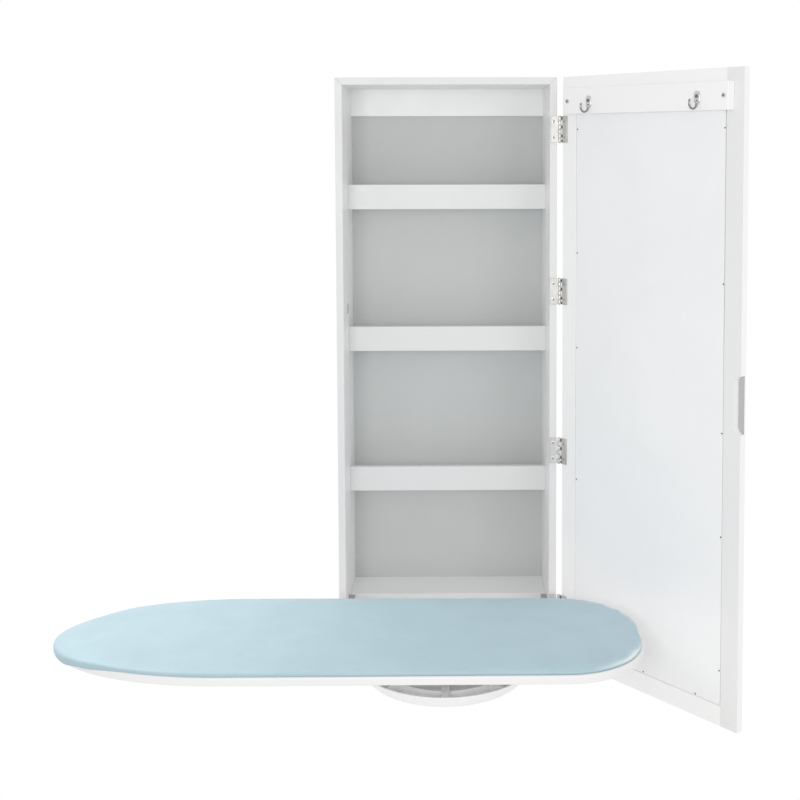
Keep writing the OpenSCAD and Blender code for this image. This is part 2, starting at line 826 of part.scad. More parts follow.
module swivel_plate() {
  hub_z = slip_top + slip_gap;
  color(white) difference() {
    translate([0, swivel_y, 0]) {
      translate([0, 0, plate_z]) cylinder(d = plate_d, h = plate_t);
      translate([0, 0, hub_z]) ring(bearing_d, bearing_w, plate_z - hub_z + eps);
      translate([0, 0, hub_z]) cylinder(d = centre_boss_d, h = plate_z - hub_z + eps);
    }
    translate([0, swivel_y, base_z]) cylinder(d = bolt_d + 2 * run_gap, h = board_z);
    plate_screw_places() screw_hole(plate_screw_d, plate_screw_len);
  }
}

module swivel_plate_screws() {
  color(steel) plate_screw_places() screw(plate_screw_d, plate_screw_len);
}

// Bolt from the board's top face down through both halves of the turntable
module pivot_bolt() {
  color(steel) translate([0, swivel_y, 0]) {
    translate([0, 0, nut_z - bolt_end]) cylinder(d = bolt_d, h = cover_z - bolt_head_h - nut_z + bolt_end);
    translate([0, 0, cover_z - bolt_head_h]) cylinder(d = bolt_head_d, h = bolt_head_h);
  }
}

module pivot_washer() {
  color(steel) translate([0, swivel_y, base_z - washer_t - washer_gap]) difference() {
    cylinder(d = 2.4 * bolt_d, h = washer_t);
    translate([0, 0, -1]) cylinder(d = bolt_d + 2 * run_gap, h = washer_t + 2);
  }
}

module pivot_nut() {
  color(steel) translate([0, swivel_y, nut_z]) difference() {
    cylinder(d = 1.8 * bolt_d, h = nut_h, $fn = 6);
    translate([0, 0, -1]) cylinder(d = bolt_d + 2 * run_gap, h = nut_h + 2, $fn = 48);
  }
}

// ---- ironing board ----

// Outline of the board, drawn in by inset: two round corners at +X, then a half ellipse at -X
function board_outline(inset) =
  let (hw = board_w / 2 - inset, r = board_corner_r - inset, cx = board_short - board_corner_r,
    cy = board_w / 2 - board_corner_r, tip = board_tip_len - inset, tx = board_tip_len - board_long)
  concat(
    [for (k = [0 : corner_steps]) let (a = 90 * k / corner_steps - 90) [cx + r * cos(a), r * sin(a) - cy]],
    [for (k = [0 : corner_steps]) let (a = 90 * k / corner_steps) [cx + r * cos(a), cy + r * sin(a)]],
    [for (k = [0 : tip_steps]) let (a = 90 + 180 * k / tip_steps) [tx + tip * cos(a), hw * sin(a)]]);

module board_panel() {
  color(white) translate([0, swivel_y, board_z]) difference() {
    linear_extrude(board_t) polygon(board_outline(0));
    translate([0, 0, -1]) cylinder(d = bolt_d + 2 * run_gap, h = board_t + 2);
    translate([0, 0, board_t - bolt_head_h]) cylinder(d = bolt_head_d + 2 * screw_gap, h = bolt_head_h + 1);
    translate([0, -swivel_y, -board_z]) plate_screw_places() screw_hole(plate_screw_d, plate_screw_len);
  }
}

module foam_pad() {
  color([0.9, 0.9, 0.8]) translate([0, swivel_y, cover_z + cloth_t + foam_gap])
    linear_extrude(cover_room - 2 * foam_gap) polygon(board_outline(pad_inset + seat_gap));
}

// Closed form with rolled edges and a low crown, hollow for the foam
module board_cover() {
  ring_pts = [for (r = cover_rings) [for (p = board_outline(r[0])) [p[0], p[1], r[1] * cover_h]]];
  n = len(ring_pts[0]);
  m = len(cover_rings);
  sides = [for (j = [0 : m - 2], i = [0 : n - 1], t = [0, 1]) let (k = (i + 1) % n)
    t == 0 ? [j * n + i, (j + 1) * n + i, (j + 1) * n + k] : [j * n + i, (j + 1) * n + k, j * n + k]];
  color(blue) translate([0, swivel_y, cover_z]) difference() {
    polyhedron([for (r = ring_pts, p = r) p],
      concat([[for (i = [0 : n - 1]) i]], sides, [[for (i = [n - 1 : -1 : 0]) (m - 1) * n + i]]));
    translate([0, 0, cloth_t]) linear_extrude(cover_room) polygon(board_outline(pad_inset));
  }
}

// ---- assembly ----

module placed() { translate([0, -case_d, -case_h / 2]) children(); }

placed() side_panel_left();
placed() side_panel_right();
placed() top_panel();
placed() bottom_panel();
placed() back_panel();
placed() hanging_cleat();
placed() hanger_plates();
placed() hanger_screws();
placed() shelf_behind_rail(0);  // shelf_upper
placed() shelf_behind_rail(1);  // shelf_middle
placed() shelf_behind_rail(2);  // shelf_lower
placed() shelf_rail(0);  // shelf_rail_upper
placed() shelf_rail(1);  // shelf_rail_middle
placed() shelf_rail(2);  // shelf_rail_lower
placed() bottom_shelf();
placed() catch_plate();
placed() catch_screws();
placed() hinge_case_leaves();
placed() hinge_pins();
placed() hinge_case_screws();
placed() side_bracket_left();
placed() side_bracket_right();
placed() pivot_stud_left();
placed() pivot_stud_right();
placed() bracket_screws();
placed() door_stile_hinge();
placed() door_stile_free();
placed() door_rail_top();
placed() door_rail_bottom();
placed() mirror_pane();
placed() backing_panel();
placed() backing_pins();
placed() hook_rail();
placed() hook_rail_screws();
placed() coat_hook(1);  // coat_hook_1
placed() coat_hook(-1);  // coat_hook_2
placed() hook_screws();
placed() hinge_door_leaves();
placed() hinge_door_screws();
placed() pivot_tube();
placed() pivot_bushes();
placed() stop_lug_left();
placed() stop_lug_right();
placed() fold_arm_left();
placed() fold_arm_right();
placed() turntable_base();
placed() slip_ring();
placed() arm_screws();
placed() board_panel();
placed() foam_pad();
placed() board_cover();
placed() swivel_plate();
placed() swivel_plate_screws();
placed() pivot_bolt();
placed() pivot_washer();
placed() pivot_nut();
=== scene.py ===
import json
import math

import bmesh
import bpy
import numpy as np
from bpy.props import FloatProperty, FloatVectorProperty, IntProperty, PointerProperty
from mathutils import Matrix, Vector


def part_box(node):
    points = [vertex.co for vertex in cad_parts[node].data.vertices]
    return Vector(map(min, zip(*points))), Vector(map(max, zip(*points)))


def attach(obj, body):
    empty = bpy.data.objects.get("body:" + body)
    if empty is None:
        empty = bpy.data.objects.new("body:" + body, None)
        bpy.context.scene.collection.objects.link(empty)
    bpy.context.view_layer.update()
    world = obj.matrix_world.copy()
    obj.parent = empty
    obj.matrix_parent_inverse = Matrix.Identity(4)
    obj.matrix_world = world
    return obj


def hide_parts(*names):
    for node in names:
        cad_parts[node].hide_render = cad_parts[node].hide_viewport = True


bl_info = {
    "name": "Mirror cabinet with ironing board",
    "version": (1, 0, 0),
    "blender": (4, 5, 0),
    "location": "3D View > Sidebar > Cabinet",
    "description": "Dresses the packed wall cabinet with lacquer, cloth, glass and metal, piece by piece",
    "category": "Object",
}

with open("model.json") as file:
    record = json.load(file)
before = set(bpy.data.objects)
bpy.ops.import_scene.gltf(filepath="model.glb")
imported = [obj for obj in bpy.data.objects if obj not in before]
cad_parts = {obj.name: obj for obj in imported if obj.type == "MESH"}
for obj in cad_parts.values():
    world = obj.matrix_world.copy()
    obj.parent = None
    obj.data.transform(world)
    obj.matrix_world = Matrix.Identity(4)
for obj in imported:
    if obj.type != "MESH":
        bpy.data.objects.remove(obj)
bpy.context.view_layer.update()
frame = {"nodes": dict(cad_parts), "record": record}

# ---- sizes ----
#
# Millimetres in the case's own axes: X runs to the right from its middle, Y towards the wall from its
# front edge, Z up from its underside. Door pieces are given as they are with the door shut.

SIDE_LOW, SIDE_HIGH = (np.round(np.array(corner) * 1000, 3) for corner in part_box("side_panel_left"))
CASE_D, CASE_H = -SIDE_LOW[1], SIDE_HIGH[2] - SIDE_LOW[2]
HALF, INNER = -SIDE_LOW[0], -SIDE_HIGH[0]
ORIGIN = np.array((0.0, CASE_D, CASE_H / 2))


def span(node):
    """Low and high corners of a CAD node's box, in the case's millimetres."""
    return [np.round(np.array(corner) * 1000, 3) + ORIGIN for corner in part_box(node)]


def joint_at(name):
    """The place of a joint's axis, in the case's millimetres."""
    joint = next(row for row in frame["record"]["behaviour"]["joints"] if row["name"] == name)
    return np.round(np.array(joint["pos_m"]) * 1000, 3) + ORIGIN


# Door: thickness, its inner face's Y, how far it stands open, frame width, and the lip in front of the
# mirror.
DOOR_T, DOOR_FACE, DOOR_OPEN = 12.0, -5.2, math.radians(130)
PIN = joint_at("door_hinge")[:2]
FRAME_W, LIP, LIP_T = 31.0, 9.0, 4.0

# The door's backing: the mirror's back, on which it lies, and how far its own face lies below the door's.
MIRROR_BACK, SEAT = -9.2, 0.5

# Finger pull in the free stile: how far its floor lies from the edge and below the inner face, and half
# its length.
PULL_W, PULL_DEPTH, PULL_HALF = 11.0, 9.0, 43.5

# Hinges: their middles' heights, leaf length and thickness, knuckle radius.
HINGE_END = 86.5
HINGE_Z = np.linspace(HINGE_END, CASE_H - HINGE_END, 4)
LEAF_LEN, LEAF_T, KNUCKLE_R = 44.0, 1.5, 2.6

# Hook rail on the door: half its length, face, middle height; a hook's distance from the middle and plate
# thickness.
RAIL_HALF, RAIL_FACE = HALF - 17.5, DOOR_FACE + 15.0
RAIL_Z = (span("hook_rail")[0][2] + span("hook_rail")[1][2]) / 2
HOOK_X, HOOK_PLATE_T = HALF - 74.0, 1.6

# Board: the swivel's place, then the panel's span about it, its round corners and the half ellipse at its
# long end.
SWIVEL_Y = joint_at("board_swivel")[1]
BOARD_LOW, BOARD_HIGH = span("board_panel")
BOARD_Z, COVER_Z = BOARD_LOW[2], BOARD_HIGH[2]
BOARD_LONG, BOARD_SHORT, BOARD_HALF = -BOARD_LOW[0], BOARD_HIGH[0], (BOARD_HIGH[1] - BOARD_LOW[1]) / 2
BOARD_CORNER, BOARD_TIP = 122.0, 262.0
BOARD_POINTS = 360

# Turntable: underside of the dish, its floor, the top of its ribs, and the radii of what stands on it.
DISH_LOW = span("turntable_base")[0][2]
DISH_FLOOR, RIB_TOP = DISH_LOW + 2.9, DISH_LOW + 15.0
BORE_R, HUB_R, RACE_IN, RACE_OUT = 4.1, 13.0, 40.0, 49.0
ARM_X, ARM_BOSS_Y = 60.0, 25.0

# Left and right, or front and back.
SIDES = (-1, 1)


# ---- shapes ----


def to_frame(points):
    """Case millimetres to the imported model's metres: the origin moves to the middle of the back face."""
    return (np.asarray(points, float) - ORIGIN) / 1000.0


def on_door(points, turn=DOOR_OPEN):
    """Turns points about the hinge pin by an angle: shut to open as it stands, or back with a negative
    one."""
    moved = np.array(points, float)
    cos, sin = math.cos(turn), math.sin(turn)
    x, y = moved[:, 0] - PIN[0], moved[:, 1] - PIN[1]
    moved[:, 0], moved[:, 1] = PIN[0] + x * cos - y * sin, PIN[1] + x * sin + y * cos
    return moved


def ease(value):
    """Smooth step from 0 to 1: three times the square less twice the cube."""
    value = np.clip(value, 0, 1)
    return value * value * (3 - 2 * value)


def grid_quads(rows, columns, wrap):
    """Quads of a grid of rows by columns points. wrap joins the last column to the first."""
    row = np.arange(rows - 1)[:, None] * columns
    here = np.arange(columns if wrap else columns - 1)[None, :]
    beside = (here + 1) % columns
    quads = [row + here, row + beside, row + columns + beside, row + columns + here]
    return np.stack(quads, -1).reshape(-1, 4)


def inward_of(outline):
    """Unit directions into a closed outline that runs against the clock: its tangents turned left."""
    tangent = np.roll(outline, -1, 0) - np.roll(outline, 1, 0)
    tangent /= np.linalg.norm(tangent, axis=1)[:, None]
    return np.stack([-tangent[:, 1], tangent[:, 0]], 1)


def circle(count):
    """Unit circle as evenly spaced points."""
    angle = np.linspace(0, 2 * math.pi, count, endpoint=False)
    return np.stack([np.cos(angle), np.sin(angle)], -1)


def rounded_outline(corners, radius, steps):
    """A convex outline with rounded corners, as centres and directions: a point is its centre plus
    (radius - inset) times its direction. Each corner's centre is where its two sides meet once both are
    drawn in by radius, and its directions fan evenly from one side's outward normal to the next
    side's."""
    corners = np.asarray(corners, float)
    side = np.roll(corners, -1, 0) - corners
    side /= np.linalg.norm(side, axis=1)[:, None]
    normal = np.stack([side[:, 1], -side[:, 0]], 1)
    before = np.roll(normal, 1, 0)
    middle = before + normal
    middle /= (middle * normal).sum(1)[:, None]
    start = np.arctan2(before[:, 1], before[:, 0])
    turn = (np.arctan2(normal[:, 1], normal[:, 0]) - start) % (2 * math.pi)
    angles = start[:, None] + turn[:, None] * np.linspace(0, 1, steps + 1)[None, :]
    fan = np.stack([np.cos(angles), np.sin(angles)], -1).reshape(-1, 2)
    return np.repeat(corners - radius * middle, steps + 1, 0), fan


def round_edge(radius, steps, low, high):
    """Profile of a slab with rounded rims as (inset, height) pairs: a quarter circle up from the low
    face, then one in to the high face."""
    angle = np.linspace(0, math.pi / 2, steps + 1)
    up = np.stack([radius * (1 - np.sin(angle)), low + radius * (1 - np.cos(angle))], 1)
    over = np.stack([radius * (1 - np.cos(angle)), high - radius * (1 - np.sin(angle))], 1)
    return np.concatenate([up, over])


def slab(corners, low, high, radius, steps):
    """Slab over a convex outline with all its edges rounded: rings of the outline follow the rounded
    profile."""
    centres, fan = rounded_outline(corners, radius, steps)
    profile = round_edge(radius, steps, low, high)
    flat = centres[None] + (radius - profile[:, 0])[:, None, None] * fan[None]
    height = np.broadcast_to(profile[:, 1][:, None, None], flat.shape[:2] + (1,))
    return stacked(np.concatenate([flat, height], -1))


def bar(low, high, radius=0.7, steps=2):
    """Box between two corners with rounded edges."""
    (x0, y0, z0), (x1, y1, z1) = low, high
    return slab([(x0, y0), (x1, y0), (x1, y1), (x0, y1)], z0, z1, radius, steps)


def stacked(rings, caps=True):
    """Closed solid from a stack of rings, each against the clock seen from the stack's far end. Without
    caps the end rings are points or lines that close by themselves."""
    levels, count = rings.shape[:2]
    faces = [tuple(quad) for quad in grid_quads(levels, count, True).tolist()]
    if caps:
        faces += [tuple(range(count - 1, -1, -1)), tuple(range((levels - 1) * count, levels * count))]
    return rings.reshape(-1, 3), faces


def turned(profile, count, centre=(0.0, 0.0)):
    """Surface of revolution: each (radius, height) of the profile is carried round the upright axis at
    centre."""
    profile = np.asarray(profile, float)
    flat = profile[:, 0][:, None, None] * circle(count)[None] + np.asarray(centre)[None, None]
    height = np.broadcast_to(profile[:, 1][:, None, None], flat.shape[:2] + (1,))
    return np.concatenate([flat, height], -1)


def drum(profile, count, centre=(0.0, 0.0)):
    """Turned solid with flat ends: the profile's first and last points are the rims of its two ends."""
    return stacked(turned(profile, count, centre))


def ring_solid(profile, count, centre):
    """Closed ring: a closed profile of (radius, height) carried round the axis, its last point joined to
    its first."""
    rings = turned(profile, count, centre)
    points = rings.reshape(-1, 3)
    faces = grid_quads(len(rings) + 1, count, True) % len(points)
    return points, [tuple(face) for face in faces.tolist()]


def standing_ring(inner, outer, base, tip, eased_by, bored=False):
    """Profile of a ring that stands from base to tip with the corners at its tip cut off; a bored one's
    bore keeps its sharp corner."""
    cut = math.copysign(eased_by, tip - base)
    inside = [(inner, tip)] if bored else [(inner + eased_by, tip), (inner, tip - cut)]
    return [(inner, base), (outer, base), (outer, tip - cut), (outer - eased_by, tip)] + inside


def tube(path, radii, count):
    """Round bar along a path in the plane X = 0, with closed ends: at each point a circle across its
    direction."""
    path = np.asarray(path, float)
    tangent = np.gradient(path, axis=0)
    tangent /= np.linalg.norm(tangent, axis=1)[:, None]
    side = np.array([1.0, 0, 0])
    across = np.cross(np.broadcast_to(side, tangent.shape), tangent)
    cos, sin = circle(count).T[:, None, :, None]
    round_it = cos * across[:, None] + sin * side
    return stacked(path[:, None] + np.asarray(radii, float)[:, None, None] * round_it)


def filleted(corners, radius, steps=3):
    """Closed outline with each corner rounded, inner corners too: a corner becomes an even curve between
    the two points that lie radius away from it on its sides."""
    corners = np.asarray(corners, float)
    back, on = np.roll(corners, 1, 0) - corners, np.roll(corners, -1, 0) - corners
    back *= (radius / np.linalg.norm(back, axis=1))[:, None]
    on *= (radius / np.linalg.norm(on, axis=1))[:, None]
    share = np.linspace(0, 1, steps + 1)[None, :, None]
    return (corners[:, None] + back[:, None] * (1 - share) ** 2 + on[:, None] * share**2).reshape(-1, 2)


def prism(outline, low, high):
    """Straight prism over a closed outline in X and Y."""
    rings = [np.column_stack([outline, np.full(len(outline), height)]) for height in (low, high)]
    return stacked(np.array(rings))


def joined(parts):
    """Several (points, faces) as one."""
    points, faces, count = [], [], 0
    for part_points, part_faces in parts:
        points.append(np.asarray(part_points, float))
        faces += [tuple(number + count for number in face) for face in part_faces]
        count += len(part_points)
    return np.concatenate(points), faces


def place(points, origin, x_to, y_to, z_to):
    """Carries local points to a frame whose axes are the three directions."""
    return np.asarray(origin, float) + np.asarray(points, float) @ np.array([x_to, y_to, z_to], float)


def axes_of(out, turn):
    """Two directions across out, turned about it by turn."""
    out = np.asarray(out, float)
    side = np.cross(out, (0.3, 0.5, 0.81))
    side /= np.linalg.norm(side)
    other = np.cross(out, side)
    return math.cos(turn) * side + math.sin(turn) * other, math.cos(turn) * other - math.sin(turn) * side


# ---- making pieces ----


def add_piece(name, mesh, finish, body, nodes):
    """Adds a mesh as a piece that rides on a body and stands for CAD nodes."""
    mesh.materials.clear()
    mesh.materials.append(FINISHES[finish])
    piece = bpy.data.objects.new(name, mesh)
    bpy.context.scene.collection.objects.link(piece)
    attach(piece, body)
    if nodes:
        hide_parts(*nodes)
    return piece


def new_piece(name, form, finish, body, *nodes, slot=None, smooth=45):
    """Makes a piece of a form's points and faces; a door's piece is turned open with the door."""
    points, faces = form
    mesh = bpy.data.meshes.new(name)
    mesh.from_pydata(to_frame(on_door(points) if body == "door" else points).tolist(), [], faces)
    clean(mesh, smooth)
    return add_piece(name, mesh, finish, body, nodes)


def clean(mesh, smooth):
    """Merges points that fall together, turns faces outwards, and shades smooth across edges whose angle
    is below smooth; an edge of a large flat face stays sharp."""
    large, nearly_flat, limit = 2.5e-5, math.radians(0.5), math.radians(smooth)
    work = bmesh.new()
    work.from_mesh(mesh)
    bmesh.ops.remove_doubles(work, verts=work.verts, dist=1e-6)
    bmesh.ops.dissolve_degenerate(work, edges=work.edges, dist=1e-6)
    bmesh.ops.recalc_face_normals(work, faces=work.faces)
    for face in work.faces:
        face.smooth = True
    for edge in work.edges:
        if len(edge.link_faces) == 2:
            flat = max(face.calc_area() for face in edge.link_faces) > large
            edge.smooth = edge.calc_face_angle(0.0) < (nearly_flat if flat else limit)
    work.to_mesh(mesh)
    work.free()
    mesh.update()


def eased(name, node, width, finish, body, narrow=60):
    """A merged copy of a CAD node with its convex edges of more than narrow degrees rounded over by width."""
    source = frame["nodes"][node]
    mesh = source.data.copy()
    mesh.transform(source.matrix_world)
    work = bmesh.new()
    work.from_mesh(mesh)
    bmesh.ops.remove_doubles(work, verts=work.verts, dist=1e-6)
    bmesh.ops.recalc_face_normals(work, faces=work.faces)
    bmesh.ops.dissolve_limit(work, angle_limit=math.radians(0.5), verts=work.verts, edges=work.edges)
    convex = [edge for edge in work.edges if len(edge.link_faces) == 2 and edge.is_convex]
    sharp = [edge for edge in convex if edge.calc_face_angle() > math.radians(narrow)]
    bmesh.ops.bevel(
        work, geom=sharp, offset=width / 1000, segments=2, profile=0.5, affect="EDGES", clamp_overlap=True
    )
    for face in work.faces:
        face.smooth = False
    work.to_mesh(mesh)
    work.free()
    return add_piece(name, mesh, finish, body, [node])


def points_of(mesh):
    """A mesh's points, in the case's millimetres."""
    flat = np.empty(len(mesh.vertices) * 3)
    mesh.vertices.foreach_get("co", flat)
    return flat.reshape(-1, 3) * 1000 + ORIGIN


def centres_of(mesh):
    """The middles of a mesh's faces, in the case's millimetres."""
    return np.array([face.center for face in mesh.polygons]) * 1000 + ORIGIN


def finish_faces(mesh, numbers, *finishes):
    """Adds finishes to a mesh and gives each face the one of its number; 0 is the finish that it has
    already."""
    for finish in finishes:
        mesh.materials.append(FINISHES[finish])
    mesh.polygons.foreach_set("material_index", np.asarray(numbers, np.int32))


def mark(mesh, name, values):
    """Keeps one number for each point, under the name that the piece's finish reads."""
    mesh.attributes.new(name, "FLOAT", "POINT").data.foreach_set("value", values.astype(np.float32))


def screw_shape(size, length):
    """Pan-head screw with its seat at height 0: a domed head of radius size with a cross recess, and a
    shank. The head is a square grid bent to a disc; its lines run along the recess's walls, so that the
    walls are clean."""
    wall, reach, slope = 0.16, 0.56, 0.06
    half = np.array([0.0, 0.1, wall, 0.32, reach - slope, reach, 0.78, 0.93, 1.0])
    lines = np.concatenate([-half[:0:-1], half])
    u, v = np.meshgrid(lines, lines, indexing="ij")
    x, y = u * np.sqrt(1 - v * v / 2), v * np.sqrt(1 - u * u / 2)

    def arm(across, along):
        return np.clip((wall - np.abs(across)) / slope, 0, 1) * np.clip((reach - np.abs(along)) / slope, 0, 1)

    dome = 0.1 + 0.22 * np.sqrt(np.clip(1 - 0.8 * (x * x + y * y), 0, 1))
    height = dome - 0.42 * np.maximum(arm(u, v), arm(v, u))
    points = np.stack([x, y, height], -1).reshape(-1, 3) * size
    count = len(lines)
    step = np.arange(count)
    last = (count - 1) * count
    rim = np.concatenate([step * count, last + step[1:], step[-2::-1] * count + count - 1, step[-2:0:-1]])
    below = len(points) + np.arange(len(rim))
    skirt = np.stack([rim, below, np.roll(below, -1), np.roll(rim, -1)], 1)
    faces = [tuple(face) for face in np.concatenate([grid_quads(count, count, False), skirt]).tolist()]
    head = (np.concatenate([points, points[rim] * (1, 1, 0)]), faces + [tuple(below.tolist())])
    shank = drum([(size * 0.1, -length), (size * 0.5, 0.6 * size - length), (size * 0.5, 0.05)], 12)
    return joined([head, shank])


def screw_set(name, node, size, length, seats, out, finish, body, dark=False):
    """One piece of like screws at seats, their heads looking out; out is one direction, or one for each
    seat. Dark gives their cross recesses a near-black floor as painted shade, a piece of its own. Each
    cross stands at an angle of its own."""
    shape, faces = screw_shape(size, length)
    cross = [(0.54 * size, 0.14 * size), (0.14 * size, 0.54 * size)]
    floor, floor_faces = joined([bar((-x, -y, -0.09 * size), (x, y, 0.1 * size), 0.02, 1) for x, y in cross])
    heads, floors = [], []
    for number, (seat, way) in enumerate(zip(seats, np.broadcast_to(out, (len(seats), 3)))):
        axes = (*axes_of(way, 0.7 + 1.9 * number), way)
        heads.append((place(shape, seat, *axes), faces))
        floors.append((place(floor, seat, *axes), floor_faces))
    if dark:
        # Painted shade: a near-black floor in each cross recess.
        new_piece(name + "_recess", joined(floors), "recess", body, slot=finish)
    return new_piece(name, joined(heads), finish, body, node, smooth=35)


# ---- finishes ----


class Finish:
    """Builds one procedural material, node by node, on Object coordinates."""

    def __init__(self, name, colour, roughness, metallic=0.0):
        self.material = bpy.data.materials.new(name)
        self.material.use_nodes = True
        self.tree = self.material.node_tree
        self.shader = self.tree.nodes["Principled BSDF"]
        self.shader.inputs["Base Color"].default_value = (*colour, 1)
        self.shader.inputs["Roughness"].default_value = roughness
        self.shader.inputs["Metallic"].default_value = metallic
        self.material.diffuse_color = (*colour, 1)
        self.where = self.tree.nodes.new("ShaderNodeTexCoord").outputs["Object"]

    def node(self, kind, inputs=(), **settings):
        """Adds a node with some settings and input values."""
        made = self.tree.nodes.new(kind)
        for key, value in settings.items():
            setattr(made, key, value)
        for key, value in dict(inputs).items():
            made.inputs[key].default_value = value
        return made

    def link(self, output, socket):
        self.tree.links.new(output, socket)

    def stretched(self, scale):
        """Object coordinates scaled by a factor for each axis."""
        mapping = self.node("ShaderNodeMapping", {"Scale": scale})
        self.link(self.where, mapping.inputs["Vector"])
        return mapping.outputs["Vector"]

    def noise(self, scale, detail=2.0, rough=0.5, where=None):
        """Fractal noise with about scale spots to the metre."""
        texture = self.node("ShaderNodeTexNoise", {"Scale": scale, "Detail": detail, "Roughness": rough})
        self.link(where or self.where, texture.inputs["Vector"])
        return texture.outputs["Fac"]

    def spread(self, value, low, high, from_low=0.3, from_high=0.7):
        """Runs from low to high as value runs from from_low to from_high."""
        limits = {"From Min": from_low, "From Max": from_high, "To Min": low, "To Max": high}
        ramp = self.node("ShaderNodeMapRange", limits)
        self.link(value, ramp.inputs["Value"])
        return ramp.outputs["Result"]

    def tint(self, value, low, high, from_low=0.3, from_high=0.7):
        """Base colour that runs between two colours as value runs from from_low to from_high."""
        ramp = self.node("ShaderNodeValToRGB")
        for stop, at, colour in zip(ramp.color_ramp.elements, (from_low, from_high), (low, high)):
            stop.position = at
            stop.color = (*colour, 1)
        self.link(value, ramp.inputs["Fac"])
        self.link(ramp.outputs["Color"], self.shader.inputs["Base Color"])
        return ramp.outputs["Color"]

    def rough(self, value, low, high):
        self.link(self.spread(value, low, high), self.shader.inputs["Roughness"])

    def bump(self, value, depth, below=None):
        """Normal of a surface that value raises by up to depth metres, over another bump below it."""
        raised = self.node("ShaderNodeBump", {"Strength": 1.0, "Distance": depth})
        self.link(value, raised.inputs["Height"])
        if below is not None:
            self.link(below, raised.inputs["Normal"])
        return raised.outputs["Normal"]

    def surface(self, normal):
        self.link(normal, self.shader.inputs["Normal"])


def shade(colour, factor):
    """A colour made lighter or darker by a factor."""
    return tuple(min(1.0, part * factor) for part in colour)


def lacquer(name, colour, roughness):
    """Sprayed satin lacquer on smooth board: slow changes of tone, faint orange peel and small marks in
    the gloss."""
    finish = Finish(name, colour, roughness)
    finish.tint(finish.noise(3.0, 3.0), shade(colour, 0.985), shade(colour, 1.01))
    finish.rough(finish.noise(35.0, 4.0), roughness - 0.05, roughness + 0.07)
    finish.surface(finish.bump(finish.noise(900.0), 0.00003, finish.bump(finish.noise(160.0), 0.00006)))
    return finish.material


def foil(name, colour, roughness):
    """Paper foil on hardboard: a fine even grain and cloudy tone."""
    finish = Finish(name, colour, roughness)
    finish.tint(finish.noise(7.0, 5.0, 0.6), shade(colour, 0.975), shade(colour, 1.015))
    finish.rough(finish.noise(60.0, 3.0), roughness - 0.05, roughness + 0.05)
    finish.surface(finish.bump(finish.noise(1400.0, 3.0, 0.7), 0.00004))
    return finish.material


def brushed(name, colour, roughness, grain):
    """Brushed plate: fine scratches that run across the grain's long axis, with patches of brighter wear."""
    finish = Finish(name, colour, roughness, 1.0)
    lines = finish.noise(400.0, 3.0, 0.6, finish.stretched(grain))
    finish.tint(finish.noise(45.0, 3.0), shade(colour, 0.82), shade(colour, 1.08))
    finish.rough(lines, roughness - 0.09, roughness + 0.12)
    finish.surface(finish.bump(lines, 0.00003))
    return finish.material


def polished(name, colour, roughness):
    """Polished chrome with a slight waviness and fine wipe marks; the piece's plate attribute, from 0
    to 1, raises the base colour to 2.1 times: a painted reflection on the hooks' plates."""
    finish = Finish(name, colour, roughness, 1.0)
    buffed = finish.node("ShaderNodeAttribute", attribute_name="plate").outputs["Fac"]
    finish.tint(buffed, colour, shade(colour, 2.1), 0.0, 1.0)
    finish.rough(finish.noise(250.0, 4.0), roughness * 0.6, roughness * 1.7)
    finish.surface(finish.bump(finish.noise(120.0, 1.0), 0.00005))
    return finish.material


def moulded(name, colour, roughness, pebble=500.0):
    """Moulded plastic with a fine spark texture and slight flow marks."""
    finish = Finish(name, colour, roughness)
    finish.tint(finish.noise(9.0), shade(colour, 0.975), shade(colour, 1.01))
    finish.rough(finish.noise(80.0, 3.0), roughness - 0.06, roughness + 0.08)
    finish.surface(finish.bump(finish.noise(pebble, 1.0), 0.00001))
    return finish.material


def mirror_finish(colour):
    """Silvered glass: a sharp mirror with faint wipe marks and a slow unevenness of the float."""
    finish = Finish("silvered_glass", colour, 0.02, 1.0)
    finish.tint(finish.noise(2.0, 1.0), shade(colour, 0.985), colour)
    finish.rough(finish.noise(25.0, 5.0, 0.6, finish.stretched((1.0, 1.0, 0.3))), 0.008, 0.035)
    finish.surface(finish.bump(finish.noise(6.0, 1.0), 0.00002))
    return finish.material


